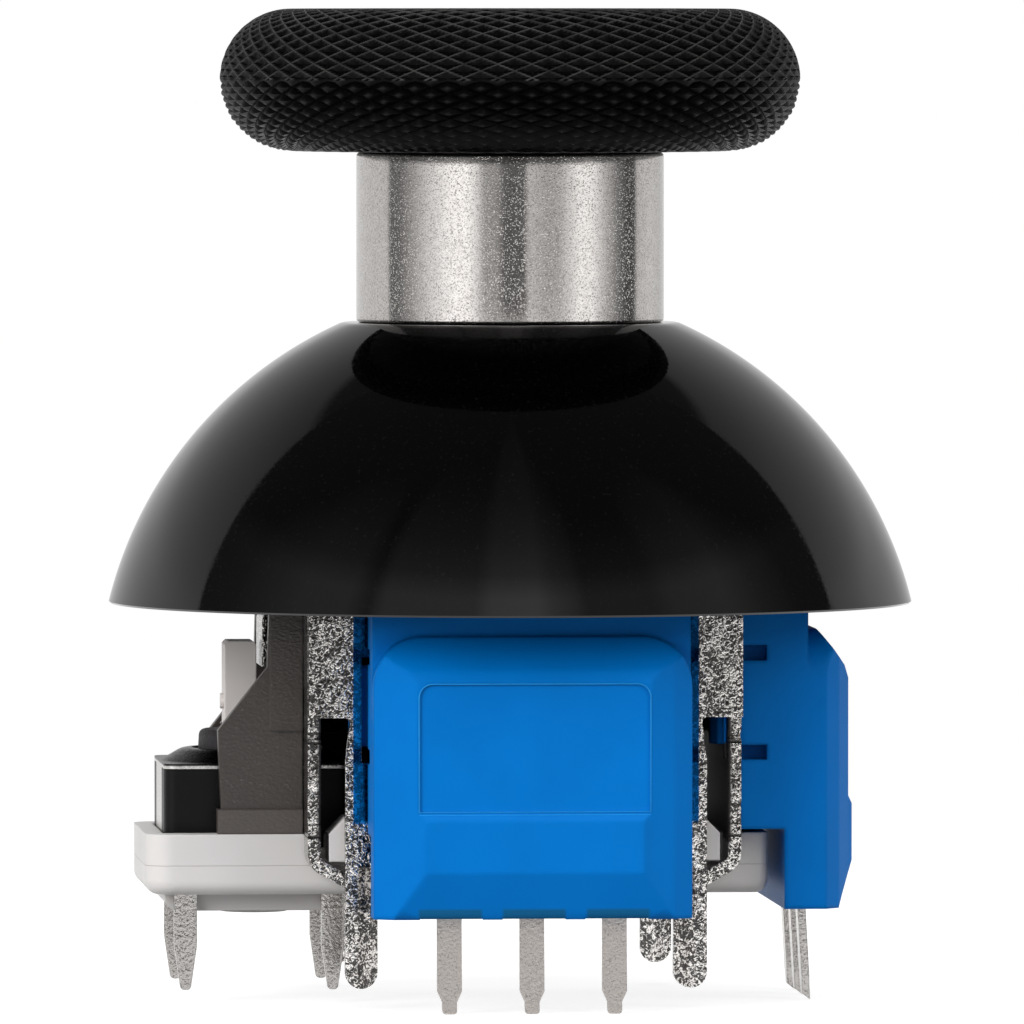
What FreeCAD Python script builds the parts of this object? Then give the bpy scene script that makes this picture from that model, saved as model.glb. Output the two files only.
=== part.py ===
import FreeCAD, Part
import math
import os
from FreeCAD import Vector

# Two-axis thumbstick module with a tall thumb cap, in millimetres.
# X is to the right, Y away from the front sensor, Z up. The origin is where the lever's axis meets the
# seating plane of the base, so the circuit board that carries the module has its face at z = 0.
# The switch is on the left (-X). One sensor is at the front (-Y), the other on the right (+X).

# Axes and travel
pivot_z = 6.3             # both tilt axes cross here
tilt_deg = 18.0           # lean of the stick to each side
click_deg = 1.0           # rocking of the lower gimbal when the stick is pressed
running_gap = 0.05        # radial play of a shaft in its hole
slide_gap = 0.1           # play of a piece that slides
fit_gap = 0.02            # play of a piece that is pushed in and stays

# Thumb cap
skirt_gap = 0.892         # between the frame's top corners and the inside of the skirt, at any tilt
skirt_wall = 1.0
skirt_rim_z = 9.3         # height of the skirt's lower rim
skirt_shoulder_r = 5.16   # flat on top of the skirt
skirt_roof = 1.3          # thickness of the skirt under its shoulder
cap_post_r = 2.75         # post inside the skirt that takes the lever
cap_post_length = 2.3
sleeve_r = 4.72
sleeve_wall = 1.5
sleeve_length = 5.1
sleeve_edge = 0.12        # chamfer on the sleeve's two ends
ring_middle_r = 6.73      # centre circle of the grip ring's round edge
ring_edge_r = 2.18
ring_neck_z = 0.16        # smooth collar between sleeve and ring
ring_socket = 1.6         # how far the core goes into the ring
ring_dish = 0.6           # depth of the hollow on top
ring_land_r = 5.9         # where the hollow starts

# Lever
neck_r = 1.45
stem_r = 2.0
stem_flat = 1.6           # half distance between the two flats of the stem
stem_below = 0.6         # the wide stem starts this far below the cap's post
stem_cover = 0.5         # and ends this far below the skirt's shoulder
neck_taper = 0.3
hub_r = 1.5               # cross barrel between the gimbal's cheeks
trunnion_r = 0.8
foot_r = 1.9
foot_reach = 3.2          # radius of the foot's round underside, centred on the pivot
foot_neck_r = 1.2
foot_edge = 0.35

# Lower gimbal, rocks about X
ring_half_x = 3.0
ring_open_x = 2.15
ring_half_y = 3.0
ring_open_y = 1.85
ring_half_z = 0.95
journal_r = 1.0
slider_journal_r = 0.45

# Upper gimbal, rocks about Y
arch_inner_r = 4.0
arch_wall = 0.8
arch_half_x = 2.4
arch_slot_gap = 0.26      # room beside the lever in the slot
arch_slot_end = 0.2
arch_hub_r = 1.5

# Folded frame
frame_half = 6.6
sheet = 0.4
frame_top = 11.75
frame_bend = 0.6          # outer radius of the folds
seam = 0.2                # open slit at the folded corners
corner_z = 6.05           # lower edge of the wide corner plates
leg_step = 0.17           # the legs start this much narrower under the corner plates
leg_step_z = 4.8
cheek_in = 1.1            # how far the legs' outer edges are inside the frame's sides
leg_width = 1.0
leg_flat = 0.4            # flat outer strip of each leg, the rest curves back
leg_curl = 0.32
leg_curl_z = 1.5          # the legs are flat above this height
leg_tip_z = -2.17
top_hole_margin = 0.7
window_side = (-0.6, 0.4) # slots for the sensor covers' hooks, from the cover's side
window_z = (4.69, 7.9)
strap_half_y = 1.5        # tongue over the switch bracket
strap_out = 1.12          # how far it stands out from the frame
strap_bottom_z = 7.4
strap_bend_z = 8.95
strap_root_z = 10.3
tab_side = 0.1            # gap between the tray and the crimp tabs under the base corners
tab_bend_z = 1.9
tab_bend_r = 0.3          # inner radius of the crimp
tab_bend_deg = 61.0
tab_length = 0.9
notch_z = (5.36, 5.6)
notch_depth = 0.3
step_z = (2.78, 3.45)
step_depth = 0.12

# Base
base_z = (0.55, 2.4)
base_reach = 1.0          # ends under the two sensor covers, from the frame's faces
leg_gap = 0.5             # between those ends and the legs
tray_half = 4.0
base_gap = 0.05           # between the base and the frame's walls
tray_end = 3.5            # from the switch's middle to the tray's left end
tray_corner = 0.8
tray_step = (0.08, 0.45)  # dip of the tray's side walls beside the frame: from its face, and depth
tray_edge = 0.4
end_corner = 0.3
block_z = (1.66, 3.0)
block_bevel = 0.5
well_floor = 0.4
guide_r = 1.95            # tube that guides the spring seat
guide_top_z = 1.9
switch_floor_z = 1.0
foot_pad_x = (-2.85, 2.5) # from the switch's middle
foot_pad_y = 2.6
foot_pad_edge = 0.25
centre_pad_r = 3.0
gate_r = 1.0
gate_drop = 0.15

# Spring and its seat
seat_flange_edge = 0.32   # the flange reaches this far past the coil
well_gap = 0.15           # between the flange and the well
seat_flange_z = (3.4, 3.9)
seat_cup_room = 0.7       # round the lever's foot
seat_cup_wall = 0.65
seat_floor = 0.65
seat_play = 0.06          # between the lever's foot and the seat
seat_pin_r = 1.2
seat_pin_z = 1.2
wire = 0.36
coil_gap = 0.37           # between the cup and the coil
coil_turns = 3.5

# Sensor covers; "out" is the distance from the frame's face
cover_in = 1.78           # how far the cover's sides are inside the frame's
cover_gap = 0.05
cover_cut_z = 2.55        # below this the back is cut away over the base's end
cover_cut_gap = 0.43
cover_flange_out = 2.15
cover_flange_top = 9.9
cover_bottom = 0.1
cover_top = 8.6           # top of the raised body
cover_crown = 1.5
cover_out = 3.5           # the flat front
cover_side_bevel = ((0, 0.8), (0.58, 0.35), (1.3, 0), (1.62, -0.18))   # in from the side, back from the front
cover_top_bevel = ((1.1, 0.14), (0, 0.98))                             # down from the top, back from the front
cover_flat_top = 7.1
cover_band = 0.13         # the lower band stands this much proud of the front
cover_band_z = (1.52, 3.25)
cover_band_step = 0.25
cover_chin = ((0.35, 0.25), (0, 0.36))                                 # up from the bottom, back from the front
panel_side = 1.36         # from the cover's side to the panel
panel_z = (3.55, 7.05)
panel_corner = 0.4
panel_depth = 0.05
slot_half = 0.96          # notches over the terminals
slot_top = 0.33
hook_slots_z = ((4.66, 5.12), (7.68, 8.16))
hook_slot_out = 0.89
hook_wall = 0.5
hook_relief = 0.22
hook_in = 0.45            # the hooks end this far behind the frame's wall
hook_catch = 0.55
hook_catch_depth = 0.37

# Rotors, magnets, boards and terminals inside the covers
rotor_r = 2.9
rotor_gap = 0.15          # from the frame, and from the board
rotor_thick = 1.2
socket_deep = 0.25        # how far the gimbal shaft goes into the rotor
socket_flat = 0.7
magnet_r = 1.5
magnet_thick = 0.7
board_thick = 0.5
board_side = 0.62         # from the cover's side to the board
board_z = (0.75, 9.0)
chip_half = 1.5
chip_high = 2.0
chip_thick = 0.7
terminal_pitch = 2.5
terminal_width = 0.74
terminal_thick = 0.25
terminal_top_z = 2.3
terminal_shoulder_z = (-2.11, -2.44)
terminal_tip_width = 0.44
terminal_tip_z = -2.8
terminal_tip_edge = 0.1
terminal_lean = 0.16      # the free ends splay outward by this much
terminal_bevel = 0.2      # the tips are cut on the slant

# Push switch
switch_gap = 0.7          # between the spring seat and the switch
switch_half = 2.9         # half width along X
switch_half_y = 3.0
switch_top = 4.35
switch_corner = 0.4
cavity_r = 2.5
cavity_z = 1.7
lid = 0.15
lid_wing_half = 1.5
lid_wing_z = 2.0
lid_dome_r = 2.85
lid_dome_high = 0.38
button_gap = 0.15         # between the button and the lid's hole
button_r = 1.75
button_top = 5.45
button_draft = 0.08
button_edge = 0.2
button_flange_r = 2.3
button_flange_z = (3.3, 3.9)
button_stub_r = 0.6
snap_r = 2.3
snap_high = 0.6
snap_thick = 0.08
pin_pitch = 4.5
pin_y = 2.85
pin_width = 0.7
pin_thick = 0.25
pin_top_z = 1.5
pin_taper_z = -1.05
pin_tip_z = -2.4
pin_tip_width = 0.3

# Slider and bracket beside the frame
slider_out = 1.26         # from the frame's face
slider_width = 0.96
slider_half_y = 0.9
slider_top = 8.16
slider_corner = 0.1
slider_lift = 0.05        # gap over the switch button at rest
slider_blind = 0.25       # wall left outside the journal's end
slider_nub_r = 0.24
slider_nub = 0.1
bracket_side_gap = 0.1    # between the switch and each cheek
bracket_cheek = 0.65
bracket_gap = 0.02        # between the frame and the wall
bracket_wall = 0.63
bracket_top = 9.6
bracket_bridge_z = (7.3, 8.7)
bracket_band_z = 3.15
bracket_band = 0.15       # how far the foot band and the guide strip stand proud
bracket_strip_out = 1.02  # these are from the frame's face
bracket_strip_z = 5.55
bracket_slope = ((1.09, 7.47), (2.6, 5.55))
bracket_waist = ((2.55, 4.24), (2.5, 3.15))
bracket_foot_out = 2.61
bracket_far_drop = 0.44   # the far cheek's slope is this much lower than the near one's
bracket_rib = 0.6
bracket_rib_in = 0.35     # the guide ribs stay this far inside the near cheek's slope
bracket_rib_z = (5.55, 6.9)
bracket_leg_z = 4.95
tenon_out = (0.8, 1.8)
tenon_deep = 0.8

# Values that follow
tilt = math.radians(tilt_deg)
diagonal = math.acos(math.cos(tilt) ** 2)
arch_outer_r = arch_inner_r + arch_wall
wall_in = frame_half - sheet
wall_bottom = base_z[1] + base_gap
side_half = wall_in - seam
cheek_half = frame_half - cheek_in
cover_half = frame_half - cover_in
panel_half = cover_half - panel_side
board_half = cover_half - board_side
leg_inner = cheek_half - leg_width
tab_inner_y = tray_half + tab_side
corner_reach = math.sqrt(2 * frame_half ** 2 + (frame_top - pivot_z) ** 2)
skirt_r = corner_reach + skirt_gap + skirt_wall
shoulder_z = pivot_z + math.sqrt(skirt_r ** 2 - skirt_shoulder_r ** 2)
skirt_ceiling_z = shoulder_z - skirt_roof
cap_post_bottom_z = skirt_ceiling_z - cap_post_length
stem_bottom_z = cap_post_bottom_z - stem_below
stem_top_z = shoulder_z - stem_cover
sleeve_top_z = shoulder_z + sleeve_length
cap_core_r = sleeve_r - sleeve_wall - fit_gap
cap_core_top_z = sleeve_top_z + ring_socket
ring_middle_z = sleeve_top_z + ring_neck_z + ring_edge_r
base_end = frame_half + base_reach
base_end_half = leg_inner - leg_gap
cover_back = frame_half + cover_gap
cover_low_back = base_end + cover_cut_gap
cover_flat = frame_half + cover_out
cover_band_face = cover_flat + cover_band
flange_face = frame_half + cover_flange_out
rotor_in = frame_half + rotor_gap
rotor_end = rotor_in + rotor_thick
socket_end = rotor_in + socket_deep
magnet_in = rotor_end - magnet_thick
board_in = rotor_end + rotor_gap
board_face = board_in + board_thick
seat_cup_r = foot_r + seat_cup_room
coil_r = seat_cup_r + seat_cup_wall + coil_gap + wire / 2
seat_flange_r = coil_r + wire / 2 + seat_flange_edge
well_r = seat_flange_r + well_gap
switch_x = -seat_flange_r - switch_gap - switch_half
tray_left = tray_end - switch_x
slider_x = (-frame_half - slider_out - slider_width, -frame_half - slider_out)
lid_hole_r = button_r + button_gap
bracket_y = (switch_half_y + bracket_side_gap, switch_half_y + bracket_side_gap + bracket_cheek)
bracket_wall_x = (-frame_half - bracket_gap - bracket_wall, -frame_half - bracket_gap)
top_hole_r = (frame_top - pivot_z) * math.tan(diagonal) + neck_r / math.cos(diagonal) + top_hole_margin
block_out = wall_in - 5 * base_gap
shaft_end = wall_in - slide_gap
pivot = Vector(0, 0, pivot_z)

PLANES = {
    "XY": lambda a, b, level: Vector(a, b, level),
    "XZ": lambda a, b, level: Vector(a, level, b),
    "YZ": lambda a, b, level: Vector(level, a, b),
}


def box(x, y, z):
    """Block between the low and high value of each axis."""
    return Part.makeBox(x[1] - x[0], y[1] - y[0], z[1] - z[0], Vector(x[0], y[0], z[0]))


def span(half):
    """Range that is symmetric about zero."""
    return (-half, half)


def rod(radius, start, end):
    """Round bar from one point to another."""
    first = Vector(*start)
    way = Vector(*end) - first
    return Part.makeCylinder(radius, way.Length, first, way)


def outline(points, plane, level):
    """Closed wire. A point is (a, b), or (a, b, radius) for a rounded corner."""
    place = PLANES[plane]
    flat = [Vector(point[0], point[1], 0) for point in points]
    stops = []
    for i, point in enumerate(points):
        radius = point[2] if len(point) > 2 else 0
        if not radius:
            stops.append((flat[i], None, flat[i]))
            continue
        back = (flat[i - 1] - flat[i]).normalize()
        ahead = (flat[(i + 1) % len(flat)] - flat[i]).normalize()
        half = back.getAngle(ahead) / 2
        inward = (back + ahead).normalize()
        reach = radius / math.tan(half)
        middle = flat[i] + inward * (radius / math.sin(half) - radius)
        stops.append((flat[i] + back * reach, middle, flat[i] + ahead * reach))
    edges = []
    for i, (start, middle, end) in enumerate(stops):
        if middle is not None:
            arc = [place(p.x, p.y, level) for p in (start, middle, end)]
            edges.append(Part.Arc(*arc).toShape())
        following = stops[(i + 1) % len(stops)][0]
        if (following - end).Length > 1e-6:
            ends = [place(p.x, p.y, level) for p in (end, following)]
            edges.append(Part.LineSegment(*ends).toShape())
    return Part.Wire(edges)


def prism(points, plane, low, high):
    """Solid between two levels of an outline."""
    face = Part.Face(outline(points, plane, low))
    return face.extrude(PLANES[plane](0, 0, high - low))


def turned(points, centre=(0, 0)):
    """Solid of revolution about the vertical through centre, from an outline of (radius, z) points."""
    face = Part.Face(outline(points, "XZ", 0))
    solid = face.revolve(Vector(0, 0, 0), Vector(0, 0, 1), 360)
    solid.translate(Vector(centre[0], centre[1], 0))
    return solid


def joined(shapes):
    """One solid from pieces that touch."""
    return shapes[0].multiFuse(shapes[1:]).removeSplitter()


def mirrored_x(shape):
    return shape.mirror(Vector(0, 0, 0), Vector(1, 0, 0))


def mirrored_y(shape):
    return shape.mirror(Vector(0, 0, 0), Vector(0, 1, 0))


def to_side(shape):
    """Turns a piece of the front sensor to the right-hand side."""
    turned_shape = shape.copy()
    turned_shape.rotate(Vector(0, 0, 0), Vector(0, 0, 1), 90)
    return turned_shape


def edges_where(shape, test):
    return [edge for edge in shape.Edges if test(edge)]


def upright(edge):
    """True for an edge that runs along Z."""
    box_of = edge.BoundBox
    return box_of.XLength < 1e-6 and box_of.YLength < 1e-6


def dome_skirt():
    """Hemispherical skirt, with the post for the lever below and the core for sleeve and ring above."""
    shell = Part.makeSphere(skirt_r, pivot)
    shell = shell.common(box(span(skirt_r), span(skirt_r), (skirt_rim_z, shoulder_z)))
    hollow = Part.makeSphere(skirt_r - skirt_wall, pivot)
    hollow = hollow.common(box(span(skirt_r), span(skirt_r), (0, skirt_ceiling_z)))
    post = rod(cap_post_r, (0, 0, cap_post_bottom_z), (0, 0, skirt_ceiling_z + skirt_wall / 2))
    core = rod(cap_core_r, (0, 0, shoulder_z - skirt_wall / 2), (0, 0, cap_core_top_z))
    body = joined([shell.cut(hollow), post, core])
    return body.cut(lever_stem(fit_gap, cap_post_bottom_z - 1, stem_top_z + slide_gap))


def stem_sleeve():
    """Steel tube that stands on the skirt's shoulder."""
    bore_r = cap_core_r + fit_gap
    return turned([
        (bore_r, shoulder_z), (sleeve_r - sleeve_edge, shoulder_z), (sleeve_r, shoulder_z + sleeve_edge),
        (sleeve_r, sleeve_top_z - sleeve_edge), (sleeve_r - sleeve_edge, sleeve_top_z), (bore_r, sleeve_top_z),
    ])


def grip_ring():
    """Round-edged ring with a shallow hollow on top and a socket below."""
    socket_r = cap_core_r + fit_gap
    socket_z = cap_core_top_z + fit_gap
    under_z = ring_middle_z - ring_edge_r
    over_z = ring_middle_z + ring_edge_r
    points = {
        "axis_low": (0, socket_z), "socket_in": (socket_r, socket_z), "socket_out": (socket_r, sleeve_top_z),
        "collar_low": (sleeve_r, sleeve_top_z), "collar_high": (sleeve_r, under_z),
        "under": (ring_middle_r, under_z), "tip": (ring_middle_r + ring_edge_r, ring_middle_z),
        "over": (ring_middle_r, over_z), "land": (ring_land_r, over_z), "axis_high": (0, over_z - ring_dish),
    }
    at = {name: Vector(value[0], 0, value[1]) for name, value in points.items()}
    order = ["axis_low", "socket_in", "socket_out", "collar_low", "collar_high", "under"]
    edges = [Part.LineSegment(at[a], at[b]).toShape() for a, b in zip(order, order[1:])]
    edges.append(Part.Arc(at["under"], at["tip"], at["over"]).toShape())
    edges.append(Part.LineSegment(at["over"], at["land"]).toShape())
    # the hollow is part of a large sphere, level at the axis
    sphere_r = (ring_land_r ** 2 + ring_dish ** 2) / (2 * ring_dish)
    half_r = ring_land_r / 2
    half_z = over_z - ring_dish + sphere_r - math.sqrt(sphere_r ** 2 - half_r ** 2)
    edges.append(Part.Arc(at["land"], Vector(half_r, 0, half_z), at["axis_high"]).toShape())
    edges.append(Part.LineSegment(at["axis_high"], at["axis_low"]).toShape())
    return Part.Face(Part.Wire(edges)).revolve(Vector(0, 0, 0), Vector(0, 0, 1), 360)


def lever_stem(gap, low, high):
    """Upper stem with two flats; gap widens it all round."""
    stem = rod(stem_r + gap, (0, 0, low), (0, 0, high))
    return stem.common(box(span(stem_flat + gap), span(stem_r + 1), (low, high)))


def lever():
    """Stem, neck, cross barrel with two trunnions, and a round foot."""
    foot_rim = pivot_z - math.sqrt(foot_reach ** 2 - foot_r ** 2)
    neck_top = stem_bottom_z - neck_taper
    neck = rod(neck_r, (0, 0, pivot_z), (0, 0, neck_top))
    taper = Part.makeCone(neck_r, stem_flat, neck_taper, Vector(0, 0, neck_top))
    stem = lever_stem(0, stem_bottom_z, stem_top_z)
    hub = rod(hub_r, (0, -ring_open_y + slide_gap, pivot_z), (0, ring_open_y - slide_gap, pivot_z))
    tip_y = ring_half_y - slide_gap
    trunnions = rod(trunnion_r, (0, -tip_y, pivot_z), (0, tip_y, pivot_z))
    shank = rod(foot_neck_r, (0, 0, foot_rim), (0, 0, pivot_z))
    foot = Part.makeSphere(foot_reach, pivot)
    foot = foot.common(rod(foot_r, (0, 0, pivot_z - foot_reach), (0, 0, foot_rim + foot_edge)))
    return joined([neck, taper, stem, hub, trunnions, shank, foot])


def lower_gimbal():
    """Open frame round the lever, with an arm to the switch side and a shaft to the side sensor."""
    z = (pivot_z - ring_half_z, pivot_z + ring_half_z)
    ring = box(span(ring_half_x), span(ring_half_y), z)
    ring = ring.makeFillet(ring_half_z / 2, edges_where(ring, upright))
    left_end = slider_x[0] + slider_blind
    arms = [
        rod(journal_r, (-shaft_end, 0, pivot_z), (socket_end, 0, pivot_z)),
        rod(slider_journal_r, (left_end, 0, pivot_z), (-shaft_end, 0, pivot_z)),
    ]
    body = joined([ring] + arms)
    body = body.cut(box(span(ring_open_x), span(ring_open_y), (z[0] - 1, z[1] + 1)))
    seat_r = trunnion_r + running_gap
    body = body.cut(rod(seat_r, (0, -ring_half_y - 1, pivot_z), (0, ring_half_y + 1, pivot_z)))
    body = body.cut(box(span(seat_r), span(ring_half_y + 1), (z[0] - 1, pivot_z)))
    return body.cut(shaft_flat())


def shaft_flat():
    """Block that gives the side shaft its flat."""
    return box((rotor_in, socket_end + 1), span(journal_r + 1), (pivot_z + socket_flat, pivot_z + journal_r + 1))


def upper_gimbal():
    """Arch over the lower gimbal, with a slot along Y for the lever."""
    strip = rod(arch_outer_r, (-arch_half_x, 0, pivot_z), (arch_half_x, 0, pivot_z))
    strip = strip.cut(box(span(arch_half_x + 1), span(arch_outer_r + 1), (pivot_z - arch_outer_r - 1, pivot_z)))
    hubs = rod(arch_hub_r, (0, -shaft_end, pivot_z), (0, shaft_end, pivot_z))
    journals = rod(journal_r, (0, -socket_end, pivot_z), (0, frame_half, pivot_z))
    body = joined([strip, hubs, journals])
    inside = rod(arch_inner_r, (-arch_half_x - 1, 0, pivot_z), (arch_half_x + 1, 0, pivot_z))
    reach = math.sqrt(arch_outer_r ** 2 - neck_r ** 2) * math.sin(tilt) + neck_r * math.cos(tilt)
    slot = box(span(neck_r + arch_slot_gap), span(reach + arch_slot_end), (pivot_z, pivot_z + arch_outer_r + 1))
    slot = slot.makeFillet(neck_r / 2, edges_where(slot, upright))
    flat = to_side(shaft_flat())
    return body.cut(inside).cut(slot).cut(mirrored_y(flat))


def spring_seat():
    """Cup under the lever's foot, with a flange on the spring and a guide pin below."""
    floor_z = pivot_z - foot_reach - seat_play
    outer_r = seat_cup_r + seat_cup_wall
    return turned([
        (0, seat_pin_z), (seat_pin_r, seat_pin_z), (seat_pin_r, floor_z - seat_floor),
        (outer_r, floor_z - seat_floor), (outer_r, seat_flange_z[0]), (seat_flange_r, seat_flange_z[0]),
        (seat_flange_r, seat_flange_z[1]), (seat_cup_r, seat_flange_z[1]), (seat_cup_r, floor_z), (0, floor_z),
    ])


def return_spring():
    """Compression coil between the base's floor and the seat's flange, its wire drawn as an octagon."""
    low = base_z[0] + well_floor + wire / 2
    high = seat_flange_z[0] - wire / 2
    path = Part.makeHelix((high - low) / coil_turns, high - low, coil_r)
    path.translate(Vector(0, 0, low))
    corners = []
    for i in range(9):
        angle = math.radians(45 * i)
        corners.append(Vector(coil_r + wire / 2 * math.cos(angle), 0, low + wire / 2 * math.sin(angle)))
    return Part.Wire(path).makePipeShell([Part.makePolygon(corners)], True, True)


def frame():
    """Folded sheet: top plate, four walls, legs, crimp tabs and the strap over the bracket."""
    shell = box(span(frame_half), span(frame_half), (wall_bottom, frame_top))
    shell = shell.makeFillet(frame_bend, edges_where(shell, lambda e: e.BoundBox.ZMin > frame_top - 1e-6))
    room = box(span(wall_in), span(wall_in), (wall_bottom - 1, frame_top - sheet))
    rounded = edges_where(room, lambda e: e.BoundBox.ZMin > frame_top - sheet - 1e-6)
    shell = shell.cut(room.makeFillet(frame_bend - sheet, rounded))
    cuts = [rod(top_hole_r, (0, 0, frame_top - 1), (0, 0, frame_top + 1))]
    for x in (-1, 1):
        for y in (-1, 1):
            cuts += corner_cuts(x, y)
    for x in (-1, 1):
        cuts.append(window(x))
        cuts.append(to_side(window(x)))
    cuts.append(rod(journal_r + running_gap, (0, -frame_half - 1, pivot_z), (0, frame_half + 1, pivot_z)))
    cuts.append(rod(journal_r + slide_gap, (0, 0, pivot_z), (frame_half + 1, 0, pivot_z)))
    arm = slider_journal_r + slide_gap
    opening_z = switch_top + lid + lid_dome_high + slide_gap
    left = (-frame_half - 1, -wall_in + 1)
    cuts.append(box(left, span(arm), (opening_z - 1, pivot_z + arm)))
    cuts.append(box(left, span(button_r + slide_gap), (opening_z - 1, button_top + slide_gap)))
    cuts.append(box(left, span(switch_half_y + slide_gap), (0, opening_z)))
    shell = shell.cut(cuts[0].multiFuse(cuts[1:]))
    extras = [strap()]
    for y in (-1, 1):
        for x in (-1, 1):
            extras.append(placed(leg(), x, y))
            extras.append(placed(crimp_tab(), x, y))
    return joined([shell] + extras)


def placed(shape, x, y):
    """Copy of a piece from the +X, -Y corner in another corner."""
    if x < 0:
        shape = mirrored_x(shape)
    if y > 0:
        shape = mirrored_y(shape)
    return shape


def corner_cuts(x, y):
    """What is cut away near one folded corner: the seam, and the metal beside the legs."""
    past = frame_half + 1
    seam_y = ordered(y * side_half, y * wall_in)
    wall_x = ordered(x * wall_in, x * past)
    front_y = ordered(y * wall_in, y * past)
    notch_y = ordered(y * (side_half - notch_depth), y * wall_in)
    step_y = ordered(y * (side_half - step_depth), y * wall_in)
    return [
        box(wall_x, seam_y, (0, frame_top - frame_bend)),
        prism([
            (x * past, 0), (x * cheek_half, 0), (x * cheek_half, leg_step_z),
            (x * (cheek_half - leg_step), corner_z, leg_step), (x * past, corner_z),
        ], "XZ", *front_y),
        box(wall_x, notch_y, notch_z),
        box(wall_x, step_y, step_z),
    ]


def window(x):
    """Slot in the front wall for one snap hook of the sensor cover."""
    wide = ordered(*(x * (cover_half + side) for side in window_side))
    return box(wide, (-frame_half - 1, -wall_in + 0.5), window_z)


def leg():
    """Solder leg at the front right corner: flat outer strip, the rest curled back, round tip."""
    width = leg_width
    section = prism([
        (cheek_half, -frame_half), (cheek_half, -wall_in), (cheek_half - leg_flat, -wall_in, width / 2),
        (leg_inner, -wall_in + leg_curl), (leg_inner, -frame_half + leg_curl),
        (cheek_half - leg_flat, -frame_half, width),
    ], "XY", leg_tip_z, leg_curl_z)
    section = section.fuse(box((leg_inner, cheek_half), (-frame_half, -wall_in), (leg_curl_z, wall_bottom)))
    front = prism([
        (leg_inner, wall_bottom), (leg_inner, leg_tip_z, width * 0.49), (cheek_half, leg_tip_z, width * 0.49),
        (cheek_half, wall_bottom),
    ], "XZ", -frame_half - 1, -wall_in + 1)
    return section.common(front)


def crimp_tab():
    """Tongue of the right wall, bent in under the base's corner."""
    bend = math.radians(tab_bend_deg)
    centre = Vector(wall_in - tab_bend_r, 0, tab_bend_z)
    edge = Vector(math.cos(bend), 0, -math.sin(bend))
    along = Vector(-math.sin(bend), 0, -math.cos(bend)) * tab_length
    middle = Vector(math.cos(bend / 2), 0, -math.sin(bend / 2))
    outer = tab_bend_r + sheet
    top_out = Vector(frame_half, 0, wall_bottom)
    top_in = Vector(wall_in, 0, wall_bottom)
    start_out = centre + Vector(outer, 0, 0)
    start_in = centre + Vector(tab_bend_r, 0, 0)
    end_out = centre + edge * outer
    end_in = centre + edge * tab_bend_r
    edges = [
        Part.LineSegment(top_in, top_out), Part.LineSegment(top_out, start_out),
        Part.Arc(start_out, centre + middle * outer, end_out), Part.LineSegment(end_out, end_out + along),
        Part.LineSegment(end_out + along, end_in + along), Part.LineSegment(end_in + along, end_in),
        Part.Arc(end_in, centre + middle * tab_bend_r, start_in), Part.LineSegment(start_in, top_in),
    ]
    face = Part.Face(Part.Wire([edge_line.toShape() for edge_line in edges]))
    face.translate(Vector(0, -side_half, 0))
    return face.extrude(Vector(0, side_half - tab_inner_y, 0))


def strap():
    """Tongue that leaves the left wall near its top and hangs down outside the bracket."""
    strap_x = frame_half + strap_out
    inner_x = strap_x - sheet
    root_x = -wall_in - sheet / 2
    return prism([
        (root_x, strap_root_z), (-strap_x, strap_bend_z, sheet + 0.1), (-strap_x, strap_bottom_z),
        (-inner_x, strap_bottom_z), (-inner_x, strap_bend_z - 0.15, 0.1), (root_x, strap_root_z - 1.4 * sheet),
    ], "XZ", -strap_half_y, strap_half_y)


def base():
    """Moulded base: slab with tray and ends, corner blocks, spring well, guide tube and standoffs."""
    low, high = base_z
    slab = prism([
        (-tray_left, -tray_half, tray_corner), (base_end, -base_end_half, end_corner),
        (base_end, base_end_half, end_corner), (-tray_left, tray_half, tray_corner),
    ], "XY", low, high)
    rim = edges_where(slab, lambda e: e.BoundBox.ZMax < low + 1e-6 and e.BoundBox.XMax < -tray_left + 1e-6)
    slab = slab.makeFillet(tray_edge, rim)
    cross = prism([
        (-base_end_half, -base_end, end_corner), (base_end_half, -base_end, end_corner),
        (base_end_half, block_out), (-base_end_half, block_out),
    ], "XY", low, high)
    pieces = [slab, cross]
    for x in (-1, 1):
        for y in (-1, 1):
            pieces.append(placed(corner_block(), x, y))
    pad_x = (switch_x + foot_pad_x[0], switch_x + foot_pad_x[1])
    pad = box(pad_x, span(foot_pad_y), (0, low))
    pad_end = edges_where(pad, lambda e: e.BoundBox.XMax < pad_x[0] + 1e-6 and e.BoundBox.ZMax < 1e-6)
    pad = pad.makeChamfer(foot_pad_edge, pad_end)
    pieces.append(pad)
    pieces.append(rod(centre_pad_r, (0, 0, 0), (0, 0, low)))
    pieces.append(rod(gate_r, (switch_x, 0, -gate_drop), (switch_x, 0, 0)))
    body = joined(pieces)
    floor_z = low + well_floor
    body = body.cut(rod(well_r, (0, 0, floor_z), (0, 0, block_z[1] + 1)))
    tube = rod(guide_r, (0, 0, floor_z - well_floor / 2), (0, 0, guide_top_z))
    body = joined([body, tube])
    body = body.cut(rod(seat_pin_r + running_gap, (0, 0, floor_z), (0, 0, guide_top_z + 1)))
    pocket = switch_half + base_gap
    pocket_y = span(switch_half_y + base_gap)
    body = body.cut(box((switch_x - pocket, switch_x + pocket), pocket_y, (switch_floor_z, high + 1)))
    for solid in switch_terminals().Solids:
        body = body.cut(solid)
    for y in (-1, 1):
        body = body.cut(tenon(y, fit_gap))
        body = body.cut(tray_dip(y))
    return body


def tray_dip(y):
    """Lower part of the tray's side wall under the frame's left wall, with a rounded start."""
    inset, depth = tray_step
    start = -frame_half + inset
    end = -block_out
    top = base_z[1] + 1
    level = base_z[1] - depth
    reach = ordered(y * (switch_half_y + base_gap), y * (tray_half + 1))
    return prism([(start, top), (start, level), (end, level), (end, top)], "XZ", *reach)


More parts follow.
